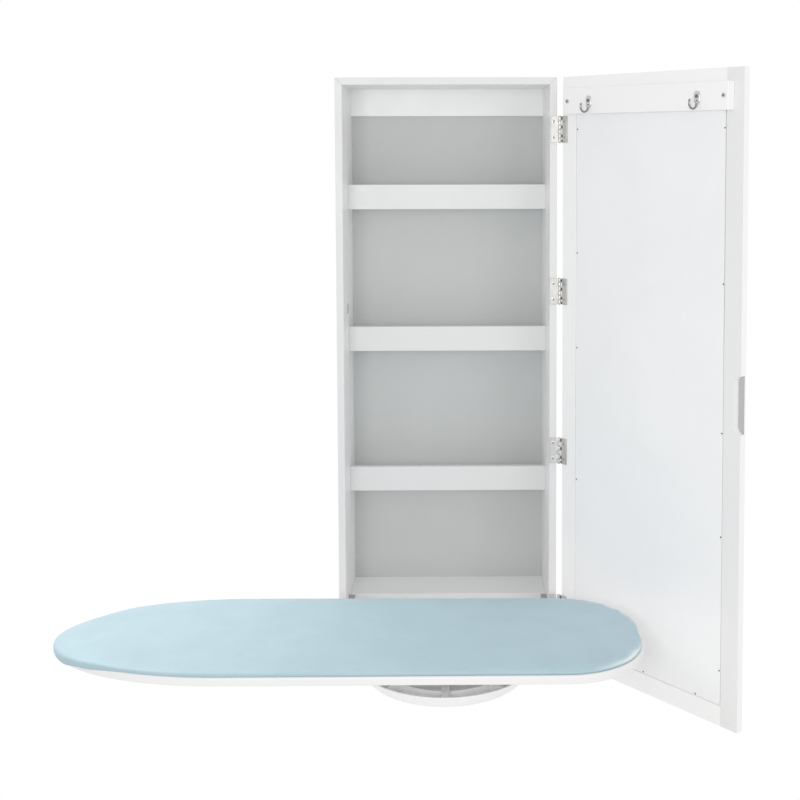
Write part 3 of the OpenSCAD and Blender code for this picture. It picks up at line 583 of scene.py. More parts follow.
def cloth_finish(colour, thread):
    """Coated cotton: two sets of threads over and under each other, cloudy tone and a soft sheen. Warp
    and weft are sine bands across and along the board, thread apart. Where the piece's marking
    attribute nears 1, the colour turns pale blue-white: a painted highlight on the roll."""
    finish = Finish("blue_cotton", colour, 0.55)
    for name, value in (("Weight", 0.25), ("Roughness", 0.4), ("Tint", (0.92, 0.97, 1.0, 1))):
        finish.shader.inputs["Sheen " + name].default_value = value
    weave = finish.node("ShaderNodeMath", operation="MULTIPLY")
    waves = {"Scale": 0.314 / thread, "Distortion": 0.6, "Detail": 1.0, "Detail Scale": 2.0}
    for axis, socket in zip("XY", weave.inputs):
        threads = finish.node("ShaderNodeTexWave", waves, wave_type="BANDS", bands_direction=axis)
        finish.link(finish.where, threads.inputs["Vector"])
        finish.link(threads.outputs["Fac"], socket)
    cloud = finish.noise(14.0, 5.0, 0.65)
    slub = finish.noise(90.0, 3.0, 0.6, finish.stretched((1.0, 6.0, 1.0)))
    both = finish.node("ShaderNodeMath", {1: 0.35}, operation="MULTIPLY_ADD")
    finish.link(slub, both.inputs[0])
    finish.link(cloud, both.inputs[2])
    dyed = finish.tint(both.outputs[0], shade(colour, 0.94), shade(colour, 1.04), 0.45, 0.95)
    # Painted highlight: a pale blue-white mixed into the dyed colour where the marking attribute rises.
    worn = finish.node("ShaderNodeMix", data_type="RGBA")
    factor, cloth, pale, result = worn.inputs[0], worn.inputs[6], worn.inputs[7], worn.outputs[2]
    pale.default_value = (0.9, 0.96, 0.97, 1)
    finish.link(finish.node("ShaderNodeAttribute", attribute_name="stretch").outputs["Fac"], factor)
    finish.link(dyed, cloth)
    finish.link(result, finish.shader.inputs["Base Color"])
    finish.rough(slub, 0.48, 0.62)
    finish.surface(finish.bump(weave.outputs[0], 0.00005, finish.bump(cloud, 0.0004)))
    return finish.material


FINISHES = {}


def make_finishes(look):
    """Makes each finish once: one for each material slot of the record, under its name, and those that
    only some pieces or faces of a slot have."""
    white = tuple(look.lacquer_colour)
    FINISHES.update(
        white_lacquer=lacquer("satin_lacquer", white, 0.38),
        # The case's front faces take a darker copy of the white lacquer: painted shade.
        edge_band=lacquer("edge_band", tuple(look.band_colour), 0.42),
        # The rails take a darker copy of the white lacquer: painted shade.
        rail_lacquer=lacquer("rail_lacquer", tuple(look.rail_colour), 0.38),
        # The free stile's inner face takes a darker copy of the white lacquer: painted shade.
        stile_lacquer=lacquer("stile_lacquer", tuple(look.stile_colour), 0.42),
        # The finger pull's floor is a mid grey, much darker than the lacquer around it.
        scoop_lacquer=lacquer("scoop_lacquer", tuple(look.scoop_colour), 0.45),
        # The board's panel takes a darker copy of the white lacquer: painted shade.
        board_lacquer=lacquer("board_lacquer", tuple(look.board_colour), 0.36),
        # Near black: painted shade in the screws' cross recesses and the hinges' notches, and the own colour
        # of the backing's pins.
        recess=moulded("dark_recess", (0.03, 0.03, 0.032), 0.5),
        back_board=foil("grey_foil", tuple(look.back_colour), 0.62),
        backing_board=foil("white_foil", tuple(look.backing_colour), 0.5),
        mirror_glass=mirror_finish((0.9, 0.925, 0.93)),
        nickel=brushed("brushed_nickel", (0.6, 0.595, 0.58), 0.34, (1.0, 1.0, 0.05)),
        # The chrome's dark base stands for the dark reflections of a room, and the hooks' plates are
        # brightened: painted reflection.
        chrome=polished("hook_chrome", (0.27, 0.27, 0.275), 0.11),
        zinc_steel=brushed("bright_zinc", (0.58, 0.585, 0.6), 0.3, (1.0, 0.2, 1.0)),
        white_steel=moulded("powder_coat", white, 0.42, 700.0),
        white_plastic=moulded("white_plastic", (0.97, 0.97, 0.97), 0.32, 900.0),
        nylon=moulded("natural_nylon", (0.72, 0.7, 0.62), 0.45),
        black_plastic=moulded("black_plastic", (0.02, 0.02, 0.022), 0.4),
        blue_cloth=cloth_finish(tuple(look.cloth_colour), 0.0007),
        foam=foil("open_foam", (0.75, 0.72, 0.62), 0.9),
    )


# ---- settings ----

COLOUR = {"subtype": "COLOR", "size": 3, "min": 0, "max": 1}
LENGTH = {"unit": "LENGTH", "precision": 4}
POWER = {"unit": "POWER", "min": 0.0, "max": 500.0}


class FinishLook(bpy.types.PropertyGroup):
    lacquer_colour: FloatVectorProperty(
        name="Lacquer", description="Colour of the lacquered panels", default=[0.965] * 3, **COLOUR
    )
    # The front faces' colour is a darker copy of the lacquer: painted shade.
    band_colour: FloatVectorProperty(
        name="Edge band", description="Colour of the case's front edge bands", default=[0.79] * 3, **COLOUR
    )
    # The rails' colour is a darker copy of the lacquer: painted shade.
    rail_colour: FloatVectorProperty(
        name="Rails", description="Colour of the retaining rails", default=[0.8] * 3, **COLOUR
    )
    # The board panel's colour is a darker copy of the lacquer: painted shade.
    board_colour: FloatVectorProperty(
        name="Board", description="Colour of the ironing board's panel", default=[0.875] * 3, **COLOUR
    )
    # The free stile's inner face colour is a darker copy of the lacquer: painted shade.
    stile_colour: FloatVectorProperty(
        name="Free stile", description="Colour of the free stile's inner face", default=[0.85] * 3, **COLOUR
    )
    scoop_colour: FloatVectorProperty(
        name="Finger pull", description="Colour of the finger pull's floor", default=[0.5] * 3, **COLOUR
    )
    back_colour: FloatVectorProperty(
        name="Back panel", description="Colour of the back's foil", default=(0.62, 0.632, 0.627), **COLOUR
    )
    backing_colour: FloatVectorProperty(
        name="Door backing", description="Colour of the foil on the mirror's backing",
        default=(0.93, 0.935, 0.945), **COLOUR
    )
    cloth_colour: FloatVectorProperty(
        name="Cover cloth", description="Colour of the cotton cover", default=(0.435, 0.585, 0.65), **COLOUR
    )


class CaseLook(bpy.types.PropertyGroup):
    edge: FloatProperty(
        name="Eased edge", description="Radius of the panels' eased edges",
        min=0.0001, max=0.003, default=0.0007, **LENGTH
    )
    edge_steps: IntProperty(
        name="Edge steps", description="Faces across an eased edge", min=1, max=6, default=2
    )


class DoorLook(bpy.types.PropertyGroup):
    edge: FloatProperty(
        name="Eased edge", description="Radius of the frame's eased edges",
        min=0.0001, max=0.003, default=0.0007, **LENGTH
    )
    bow: FloatProperty(
        name="Backing bow",
        description="Distance by which the upper half of the backing's free side draws in",
        min=0.0, max=0.003, default=0.0009, **LENGTH
    )


class HookLook(bpy.types.PropertyGroup):
    rod: FloatProperty(
        name="Rod", description="Thickness of the hook's rod", min=0.001, max=0.0032, default=0.003, **LENGTH
    )
    curl: FloatProperty(
        name="Tip curl", description="Angle by which the tip curls in",
        subtype="ANGLE", min=0.0, max=2.0, default=1.05
    )


class BoardLook(bpy.types.PropertyGroup):
    rim: FloatProperty(
        name="Rim radius", description="Radius of the board panel's upper rim",
        min=0.0005, max=0.006, default=0.003, **LENGTH
    )
    puff: FloatProperty(
        name="Puff", description="Most that the cover may swell over its foam",
        min=0.0, max=0.004, default=0.0012, **LENGTH
    )
    pucker: FloatProperty(
        name="Puckers", description="Depth of the puckers at the cover's edge",
        min=0.0, max=0.002, default=0.0005, **LENGTH
    )
    over: FloatProperty(
        name="Overhang", description="Distance by which the cover reaches over the round end",
        min=0.0, max=0.008, default=0.007, **LENGTH
    )
    hang: FloatProperty(
        name="Hem", description="Distance by which the cover's hem hangs down at the round end",
        min=0.0, max=0.01, default=0.007, **LENGTH
    )
    droop: FloatProperty(
        name="Droop", description="Distance by which the cover's round end droops past its foam",
        min=0.0, max=0.006, default=0.005, **LENGTH
    )


class HingeLook(bpy.types.PropertyGroup):
    soft: FloatProperty(
        name="Rolled rim", description="Radius of the knuckles' rolled rims",
        min=0.0001, max=0.001, default=0.0004, **LENGTH
    )


class TurntableLook(bpy.types.PropertyGroup):
    steps: IntProperty(name="Steps round", description="Faces round the dish", min=24, max=360, default=180)


class StageLook(bpy.types.PropertyGroup):
    world: FloatProperty(
        name="Sky light", description="Strength of the even light all round", min=0.0, max=2.0, default=0.75
    )
    right: FloatProperty(
        name="Right lamp", description="Power of the wide lamp at the right front", default=7.4, **POWER
    )
    left: FloatProperty(
        name="Left lamp", description="Power of the lamp just left of the camera", default=9.2, **POWER
    )
    top: FloatProperty(
        name="Top lamp", description="Power of the lamp above the board's long end", default=1.3, **POWER
    )
    floor_drop: FloatProperty(
        name="Floor", description="Height of the floor from the cabinet's middle",
        unit="LENGTH", min=-3.0, max=-0.5, default=-1.15
    )


# ---- stage ----
#
# The photograph's camera, from a least-squares fit of the case's corners: the picture's width, the focal
# length and the optical axis's place in pixels, then the camera's place in metres and its turns in
# radians.

PICTURE_W, FOCAL, AXIS_AT = 800, 1255.55, (471.40, 227.38)
CAMERA_AT = (0.02277, -2.28732, 0.38041)
YAW, PITCH, ROLL = -0.0091, -0.0653, 0.002


def lamp(name, where, at, size, power, spread=180):
    """Square area lamp at where that faces at; spread is the angle of its beam."""
    data = bpy.data.lights.new(name, "AREA")
    data.shape = "SQUARE"
    data.size = size
    data.energy = power
    data.spread = math.radians(spread)
    made = bpy.data.objects.new(name, data)
    bpy.context.scene.collection.objects.link(made)
    away = Vector(where) - Vector(at)
    made.matrix_world = Matrix.Translation(where) @ away.to_track_quat("Z", "Y").to_matrix().to_4x4()


class CABINET_OT_stage(bpy.types.Operator):
    """Sets the camera, the white surroundings, the lamps and the pale floor"""

    bl_idname = "cabinet.stage"
    bl_label = "Stage"

    def execute(self, context):
        scene, look = context.scene, context.scene.cabinet_stage
        scene.view_settings.view_transform = "Standard"
        self.camera(scene)
        self.world(scene, look)
        lamp("right_lamp", (1.5, -2.8, 0.6), (0.0, -0.2, 0.0), 1.2, look.right)
        lamp("left_lamp", (-0.35, -2.55, 0.4), (0.0, -0.2, 0.0), 0.5, look.left)
        lamp("top_lamp", (-0.9, -0.1, 0.55), (-0.45, -0.45, -0.35), 0.5, look.top, 80)
        self.floor(look)
        return {"FINISHED"}

    def camera(self, scene):
        """The photograph's camera; its shift puts the optical axis where it lies in the photograph."""
        data = bpy.data.cameras.new("camera")
        data.sensor_width = 36.0
        data.lens = FOCAL / PICTURE_W * data.sensor_width
        data.shift_x = (PICTURE_W / 2 - AXIS_AT[0]) / PICTURE_W
        data.shift_y = (AXIS_AT[1] - PICTURE_W / 2) / PICTURE_W
        data.clip_start, data.clip_end = 0.05, 60
        turn = Matrix.Rotation(YAW, 3, "Z") @ Matrix.Rotation(PITCH, 3, "X") @ Matrix.Rotation(ROLL, 3, "Y")
        right, forward, up = turn.col
        basis = Matrix((right, up, -forward)).transposed().to_4x4()
        camera = bpy.data.objects.new("camera", data)
        scene.collection.objects.link(camera)
        camera.matrix_world = Matrix.Translation(CAMERA_AT) @ basis
        scene.camera = camera

    def world(self, scene, look):
        """Even pale light on the object; camera, glossy and transmission rays see plain white instead."""
        world = bpy.data.worlds.new("surroundings")
        scene.world = world
        world.use_nodes = True
        tree = world.node_tree
        light, seen = tree.nodes["Background"], tree.nodes.new("ShaderNodeBackground")
        light.inputs["Color"].default_value = (1.0, 0.998, 0.992, 1)
        light.inputs["Strength"].default_value = look.world
        seen.inputs["Color"].default_value = (1, 1, 1, 1)
        seen.inputs["Strength"].default_value = 1.0
        path = tree.nodes.new("ShaderNodeLightPath")
        straight = path.outputs["Is Camera Ray"]
        for kind in ("Is Glossy Ray", "Is Transmission Ray"):
            either = tree.nodes.new("ShaderNodeMath")
            either.operation = "MAXIMUM"
            tree.links.new(straight, either.inputs[0])
            tree.links.new(path.outputs[kind], either.inputs[1])
            straight = either.outputs[0]
        mix = tree.nodes.new("ShaderNodeMixShader")
        for output, socket in zip((straight, light.outputs[0], seen.outputs[0]), mix.inputs):
            tree.links.new(output, socket)
        tree.links.new(mix.outputs[0], tree.nodes["World Output"].inputs["Surface"])

    def floor(self, look):
        """Pale disc under the cabinet that fades out towards its rim, so that no edge of it shows."""
        middle = (0.0, -0.9, look.floor_drop)
        rings = turned([(radius, 0.0) for radius in (0.0, 0.4, 0.8, 1.2, 1.5)], 48)
        points, faces = stacked(rings, caps=False)
        mesh = bpy.data.meshes.new("floor")
        mesh.from_pydata((points + middle).tolist(), [], faces)
        clean(mesh, 30)
        floor = bpy.data.objects.new("floor", mesh)
        bpy.context.scene.collection.objects.link(floor)
        finish = Finish("pale_floor", (0.88, 0.88, 0.88), 0.9)
        finish.tint(finish.noise(2.0, 3.0), (0.87, 0.87, 0.87), (0.89, 0.89, 0.89))
        away = finish.node("ShaderNodeVectorMath", {1: middle}, operation="DISTANCE")
        finish.link(finish.where, away.inputs[0])
        finish.link(finish.spread(away.outputs["Value"], 1.0, 0.0, 0.7, 1.3), finish.shader.inputs["Alpha"])
        mesh.materials.append(finish.material)


# ---- pieces ----


class CABINET_OT_finishes(bpy.types.Operator):
    """Makes the procedural finishes and gives each CAD node the one its slot names"""

    bl_idname = "cabinet.finishes"
    bl_label = "Finishes"

    def execute(self, context):
        make_finishes(context.scene.cabinet_finish)
        for row in frame["record"]["subparts"]:
            node, finish = frame["nodes"][row["node"]], FINISHES[row["material_slot"]]
            if not node.material_slots:
                node.data.materials.append(finish)
            for holder in node.material_slots:
                holder.material = finish
        return {"FINISHED"}


class CABINET_OT_case(bpy.types.Operator):
    """Builds the mitred case, its shelves and their rails with eased edges"""

    bl_idname = "cabinet.case"
    bl_label = "Case and shelves"

    def execute(self, context):
        look = context.scene.cabinet_case
        edge, steps = look.edge * 1000, look.edge_steps
        wall = HALF - INNER
        outer = [(-HALF, 0), (HALF, 0), (HALF, CASE_H), (-HALF, CASE_H)]
        inner = [(-INNER, wall), (INNER, wall), (INNER, CASE_H - wall), (-INNER, CASE_H - wall)]
        for name, node, start in (
            ("case_side_left", "side_panel_left", 3),
            ("case_side_right", "side_panel_right", 1),
            ("case_top", "top_panel", 2),
            ("case_bottom", "bottom_panel", 0),
        ):
            end = (start + 1) % 4
            self.mitred(name, node, [outer[start], outer[end], inner[end], inner[start]], edge, steps)
        rows = []
        for level in ("upper", "middle", "lower"):
            # The rails get the darker copy of the lacquer as painted shade; the shelves keep the white.
            rows.append(("rail_" + level, "shelf_rail_" + level, "rail_lacquer"))
            rows.append(("shelf_board_" + level, "shelf_" + level, "white_lacquer"))
        rows.append(("shelf_board_bottom", "bottom_shelf", "white_lacquer"))
        for name, node, finish in rows:
            new_piece(name, bar(*span(node), edge, steps), finish, "cabinet", node, slot="white_lacquer")
        return {"FINISHED"}

    def mitred(self, name, node, corners, edge, steps):
        """Panel with mitred ends: its outline in X and Z, carried along Y from the front edge to the
        wall. The faces up to its eased front edge get a darker copy of the lacquer as painted shade."""
        points, faces = slab(corners, 0.0, CASE_D, edge, steps)
        standing = np.stack([points[:, 0], CASE_D - points[:, 2], points[:, 1]], 1)
        mesh = new_piece(name, (standing, faces), "white_lacquer", "cabinet", node).data
        finish_faces(mesh, centres_of(mesh)[:, 1] < edge, "edge_band")


class CABINET_OT_door(bpy.types.Operator):
    """Builds the door's frame with eased edges, and its backing with a slightly bowed side"""

    bl_idname = "cabinet.door"
    bl_label = "Door"

    def execute(self, context):
        look = context.scene.cabinet_door
        edge = look.edge * 1000
        inner, lip = HALF - FRAME_W, HALF - FRAME_W - LIP
        face, front, step = DOOR_FACE, DOOR_FACE - DOOR_T, DOOR_FACE - DOOR_T + LIP_T
        section = [(HALF, front), (HALF, face), (inner, face), (inner, step), (lip, step), (lip, front)]
        stile = prism(filleted(section, edge), 0.0, CASE_H)
        new_piece("stile_hinge_side", stile, "white_lacquer", "door", "door_stile_hinge")
        self.shade_stile(eased("stile_free_side", "door_stile_free", edge, "white_lacquer", "door").data)
        for end in ("top", "bottom"):
            eased("frame_rail_" + end, "door_rail_" + end, edge * 0.7, "white_lacquer", "door", narrow=30)
        self.sheet(look)
        return {"FINISHED"}

    def shade_stile(self, mesh):
        """Gives the stile's inner face a darker copy of the lacquer as painted shade, and the floor of its
        finger pull a mid grey, by the centre of each face in the shut door. The pull's bounds are a little
        wider than its floor."""
        x, y, z = on_door(centres_of(mesh), -DOOR_OPEN).T
        on_face = y > DOOR_FACE - 0.05
        level = np.abs(y - DOOR_FACE + PULL_DEPTH) < 0.3
        on_floor = level & (x < PULL_W + 0.5 - HALF) & (np.abs(z - CASE_H / 2) < PULL_HALF + 1.5)
        finish_faces(mesh, np.where(on_face, 1, 2 * on_floor), "stile_lacquer", "scoop_lacquer")

    def sheet(self, look):
        """Backing sheet behind the mirror: a slab whose free side draws in by the bow, little below the
        middle and fully above it. The share of the bow is 0.15 + 0.85 / (1 + e^((0.56 - height) / 0.02)),
        an S-shaped step at 0.56 of the height."""
        gap, free_gap, hinge_gap, rows = 0.6, 1.0, 0.75, 60
        inner = HALF - FRAME_W
        z, height = np.linspace(FRAME_W + gap, CASE_H - FRAME_W - gap, rows), np.linspace(0, 1, rows)
        bow = look.bow * 1000 * (0.15 + 0.85 / (1 + np.exp((0.56 - height) / 0.02)))
        left, right = free_gap - inner + bow, np.full(rows, inner - hinge_gap)
        back, face = MIRROR_BACK, DOOR_FACE - SEAT
        corners = ((left, back), (right, back), (right, face), (left, face))
        section = np.stack([np.stack([x, np.full(rows, y), z], 1) for x, y in corners], 1)
        new_piece("backing_sheet", stacked(section), "backing_board", "door", "backing_panel", smooth=20)


def board_outline(inset, over=0.0):
    """Outline of the board about the turntable's centre, drawn in by inset, evenly spaced from the middle
    of the square end: two round corners at +X, then a half ellipse at -X, which over makes longer."""
    radius, tip = BOARD_CORNER, BOARD_TIP + over
    corner, bend = np.linspace(0, math.pi / 2, 60), np.linspace(math.pi / 2, math.pi, 120)
    middle_x, middle_y = BOARD_SHORT - radius, BOARD_HALF - radius
    far = np.concatenate(
        [
            [(BOARD_SHORT, 0.0)],
            np.stack([middle_x + radius * np.cos(corner), middle_y + radius * np.sin(corner)], 1),
            np.stack([BOARD_TIP - BOARD_LONG + tip * np.cos(bend), BOARD_HALF * np.sin(bend)], 1),
        ]
    )
    loop = np.concatenate([far, far[-2:0:-1] * (1, -1), far[:1]])
    run = np.concatenate([[0], np.cumsum(np.linalg.norm(np.diff(loop, axis=0), axis=1))])
    at = np.linspace(0, run[-1], BOARD_POINTS, endpoint=False)
    points = np.stack([np.interp(at, run, line) for line in loop.T], 1)
    return points + np.reshape(inset, (-1, 1)) * inward_of(points)


class CABINET_OT_board(bpy.types.Operator):
    """Builds the ironing board's panel with a rounded rim"""

    bl_idname = "cabinet.board"
    bl_label = "Board"

    def execute(self, context):
        lower_rim, upper_rim = 1.2, context.scene.cabinet_board.rim * 1000
        low = round_edge(lower_rim, 3, BOARD_Z, COVER_Z)[:4]
        high = round_edge(upper_rim, 5, BOARD_Z, COVER_Z)[6:]
        rings = [
            np.column_stack([board_outline(inset) + (0, SWIVEL_Y), np.full(BOARD_POINTS, z)])
            for inset, z in np.concatenate([low, high])
        ]
        form, slot = stacked(np.array(rings)), "white_lacquer"
        # The panel gets the darker copy of the lacquer as painted shade.
        new_piece("board_slab", form, "board_lacquer", "board", "board_panel", slot=slot, smooth=60)
        return {"FINISHED"}


class CABINET_OT_cover(bpy.types.Operator):
    """Builds the padded cloth cover, lets its cloth swell over the foam and puckers its edge"""

    bl_idname = "cabinet.cover"
    bl_label = "Padded cover"

    def execute(self, context):
        look = context.scene.cabinet_board
        points, faces = stacked(self.form(look), caps=False)
        points = self.swollen(points, faces, look)
        form = (points, faces)
        piece = new_piece("padded_cover", form, "blue_cloth", "board", "board_cover", "foam_pad", smooth=180)
        for edge in piece.data.edges:
            edge.use_edge_sharp = False
        # Marks the painted highlight on the roll near the square end.
        self.stretch(piece.data)
        return {"FINISHED"}

    def form(self, look):
        """Rings from the middle line under the cover out to the hem, up the rolled edge, then in over the
        crown to the middle line again. At the round end the cover reaches over the panel's rim and its
        hem hangs down past it in slight waves, and its last 40 mm droop; towards the square end it draws
        in and its roll grows fuller above its widest height. On the crown a point goes from the outline
        to the nearest point of the middle line by a growing share, and the height rises from the roll's
        last to the cover's own."""
        hem = [(6.0, 0.0), (2.4, 0.3), (0.7, 1.2), (0.1, 2.3), (0.0, 3.2)]
        roll = hem + [(0.3, 4.3), (1.1, 5.4), (2.3, 6.2), (4.0, 6.75)]
        widest, hem_top, droop_reach = hem[-1][1], 4.3, 40
        last_inset, last_height = roll[-1]
        crown = span("board_cover")[1][2] - COVER_Z
        over = look.over * 1000
        x = board_outline(0, over)[:, 0]
        share, round_end = ease((x + 300) / 520), ease((-430 - x) / 120)
        turn = np.linspace(0, 2 * math.pi, BOARD_POINTS, endpoint=False)
        hang = (look.hang * 1000 + 0.9 * np.sin(23 * turn) + 0.5 * np.sin(41 * turn + 1)) * round_end
        droop = look.droop * 1000 * ease((-480 - x) / 90)
        draw_in = 1.8 * share - 0.8 * (1 - ease((x + 480) / 240))
        fuller = 1 + 0.95 * share
        edge = board_outline(draw_in + last_inset * fuller, over)
        ends = [-BOARD_LONG - over, BOARD_TIP - BOARD_LONG, 140.0, BOARD_SHORT]
        line = np.interp(edge[:, 0], ends, [ends[0] + 80, ends[1], ends[2], 190.0])
        middle = np.column_stack([line, np.zeros(BOARD_POINTS)])
        stack = [np.column_stack([middle, np.zeros(BOARD_POINTS)])]
        for inset, z in roll:
            flat = board_outline(draw_in + inset * (fuller if z > widest else 1), over)
            sag = droop * (1 - inset / droop_reach) ** 1.5 * (z > 0)
            stack.append(np.column_stack([flat, z - hang * max(0.0, 1 - z / hem_top) - sag]))
        for way in np.concatenate([[0.018, 0.045], np.linspace(0.09, 1.0, 21)]):
            flat = edge + (middle - edge) * way
            far = np.linalg.norm(flat - edge, axis=1) + last_inset
            rise = last_height + (crown - last_height) * (1 - (1 - way) ** 9) ** 0.75
            sag = droop * np.clip(1 - far / droop_reach, 0, 1) ** 1.5
            stack.append(np.column_stack([flat, rise - sag]))
        rings = np.array(stack)
        rings[:, :, :2] += self.puckers(rings, look)
        return rings + (0, SWIVEL_Y, COVER_Z)

    def stretch(self, mesh):
        """Marks where the cover gets a painted highlight: on the roll, by a bell e^-((height - 4.6) /
        1.5)^2, and towards the square end's corners, by a straight ramp along the board times one across
        it."""
        x, y, z = (points_of(mesh) - (0, SWIVEL_Y, COVER_Z)).T
        corner = np.clip((x - 205) / 60, 0, 1) * np.clip((np.abs(y) - 25) / 60, 0, 1)
        mark(mesh, "stretch", corner * np.exp(-(((z - 4.6) / 1.5) ** 2)))

    def puckers(self, rings, look):
        """Small waves in the rolled edge: a sum of sines along the outline pushes it in and out across
        its own direction, most at mid-height of the roll and nothing at the hem's end or on the crown."""
        turn = np.linspace(0, 2 * math.pi, BOARD_POINTS, endpoint=False)
        wave = 0.5 * np.sin(37 * turn + 1.1) * np.sin(5 * turn)
        wave += 0.35 * np.sin(61 * turn + 0.4) * np.sin(3 * turn + 1) + 0.3 * np.sin(11 * turn + 2)
        height = np.zeros(len(rings))
        height[1:12] = (0.0, 0.5, 0.9, 1.0, 0.9, 0.8, 0.7, 0.55, 0.4, 0.25, 0.1)
        push = look.pucker * 1000 * (wave + 1.0) / 2
        return height[:, None, None] * push[None, :, None] * inward_of(rings[5, :, :2])[None]

    def swollen(self, points, faces, look):
        """The cover's points after its cloth has been blown up a little over the foam, with each point's
        way capped. The hem is pinned; the cloth is a little too wide, so it also settles in soft folds
        near the edge."""
        scene = bpy.context.scene
        pinned_rings, frames, most_down = 3, 20, 0.0004
        start, number_of = np.unique(np.round(to_frame(points), 7), axis=0, return_inverse=True)
        number_of = number_of.reshape(-1)
        merged = [tuple(dict.fromkeys(number_of[list(face)].tolist())) for face in faces]
        mesh = bpy.data.meshes.new("cloth")
        mesh.from_pydata(start.tolist(), [], [face for face in merged if len(face) > 2])
        cloth = bpy.data.objects.new("cloth", mesh)
        scene.collection.objects.link(cloth)
        pins = cloth.vertex_groups.new(name="hem")
        pins.add(np.unique(number_of[: pinned_rings * BOARD_POINTS]).tolist(), 1.0, "REPLACE")
        made = cloth.modifiers.new("cloth", "CLOTH")
        values = {
            "quality": 6,
            "mass": 0.25,
            "tension_stiffness": 18,
            "compression_stiffness": 18,
            "shear_stiffness": 8,
            "bending_stiffness": 0.4,
            "shrink_min": -0.004,
            "use_pressure": True,
            "uniform_pressure_force": 4.0,
            "vertex_group_mass": "hem",
        }
        for name, value in values.items():
            setattr(made.settings, name, value)
        made.settings.effector_weights.gravity = 0.0
        made.collision_settings.use_collision = False
        made.collision_settings.use_self_collision = False
        for number in range(1, frames + 1):
            scene.frame_set(number)
        seen = cloth.evaluated_get(bpy.context.evaluated_depsgraph_get())
        flat = np.empty(len(start) * 3)
        seen.data.vertices.foreach_get("co", flat)
        way = flat.reshape(-1, 3) - start
        bpy.data.objects.remove(cloth)
        bpy.data.meshes.remove(mesh)
        scene.frame_set(1)
        far = np.linalg.norm(way, axis=1)
        if not np.isfinite(far).all() or far.max() < 1e-6:
            raise RuntimeError("the cover's cloth simulation gave no shape")
        most, mean = round(far.max() * 1000, 2), round(far.mean() * 1000, 2)
        print("cover: cloth moved", most, "mm at most,", mean, "mm on average")
        way *= (look.puff * np.tanh(far / look.puff) / np.maximum(far, 1e-9))[:, None]
        way[:, 2] = np.maximum(way[:, 2], -most_down)
        return points + way[number_of] * 1000


class CABINET_OT_hooks(bpy.types.Operator):
    """Builds the two bent hooks with their round-ended plates, and the eased rail that holds them"""

    bl_idname = "cabinet.hooks"
    bl_label = "Hook rail"

    def execute(self, context):
        look = context.scene.cabinet_hook
        low, high = (corner[2] for corner in span("hook_rail"))
        rail = bar((-RAIL_HALF, DOOR_FACE, low), (RAIL_HALF, RAIL_FACE, high), 0.9, 3)
        new_piece("hook_bar", rail, "white_lacquer", "door", "hook_rail")
        points, faces = joined([self.plate(), self.rod(look)])
        for number, x in (("1", HOOK_X), ("2", -HOOK_X)):
            form = (points + (x, RAIL_FACE, RAIL_Z), faces)
            mesh = new_piece("wall_hook_" + number, form, "chrome", "door", "coat_hook_" + number).data
            # The plates are marked for their brighter painted reflection; the rod keeps the dark tone.
            height = on_door(points_of(mesh), -DOOR_OPEN)[:, 1] - RAIL_FACE
            mark(mesh, "plate", height < HOOK_PLATE_T + 0.05)
        return {"FINISHED"}

    def plate(self):
        """Round-ended plate: two half circles joined by straight sides, with a soft front rim."""
        radius, apart, drop = 5.5, 4.5, 2.0
        half = circle(32)[:17] * radius
        ring = np.concatenate([(-half) + (0, -apart), half + (0, apart)])
        rims = [(1.0, 0.0), (1.0, 0.9), (0.97, 1.25), (0.9, 1.5), (0.8, HOOK_PLATE_T)]
        x, z = ring.T
        rings = [[x * share, np.full(len(ring), y), z * (0.4 + 0.6 * share) - drop] for share, y in rims]
        return stacked(np.array(rings).transpose(0, 2, 1))

    def rod(self, look):
        """Rod's centre line: down the plate, round a half circle, up and in by the curl; it thins towards
        the tip and ends in a small ball."""
        radius, tip_radius, start_y, start_z = 8.25, 4.0, 1.9, -10.4
        down = [(0.0, start_y, z) for z in np.linspace(start_z + 5.0, start_z + 0.6, 6)]
        turn = np.linspace(math.pi, 2 * math.pi, 40)
        bend_y, bend_z = start_y + radius + radius * np.cos(turn), start_z + radius * np.sin(turn)
        end_y, end_z = start_y + 2 * radius, start_z + 2.0
        curl = np.linspace(0, look.curl, 12)[1:]
        curl_y, curl_z = end_y - tip_radius + tip_radius * np.cos(curl), end_z + tip_radius * np.sin(curl)
        bend, tip = (np.stack([y * 0, y, z], 1) for y, z in ((bend_y, bend_z), (curl_y, curl_z)))
        path = np.concatenate([down, bend, [(0.0, end_y, end_z - 1.0), (0.0, end_y, end_z)], tip])
        radii = np.full(len(path), look.rod * 500)
        radii[:6] *= (0.35, 0.7, 0.9, 1.0, 1.0, 1.0)
        radii[-12:] *= (1.0, 1.0, 0.98, 0.97, 0.97, 0.98, 1.02, 1.1, 1.18, 1.15, 0.95, 0.5)
        return tube(path, radii, 20)


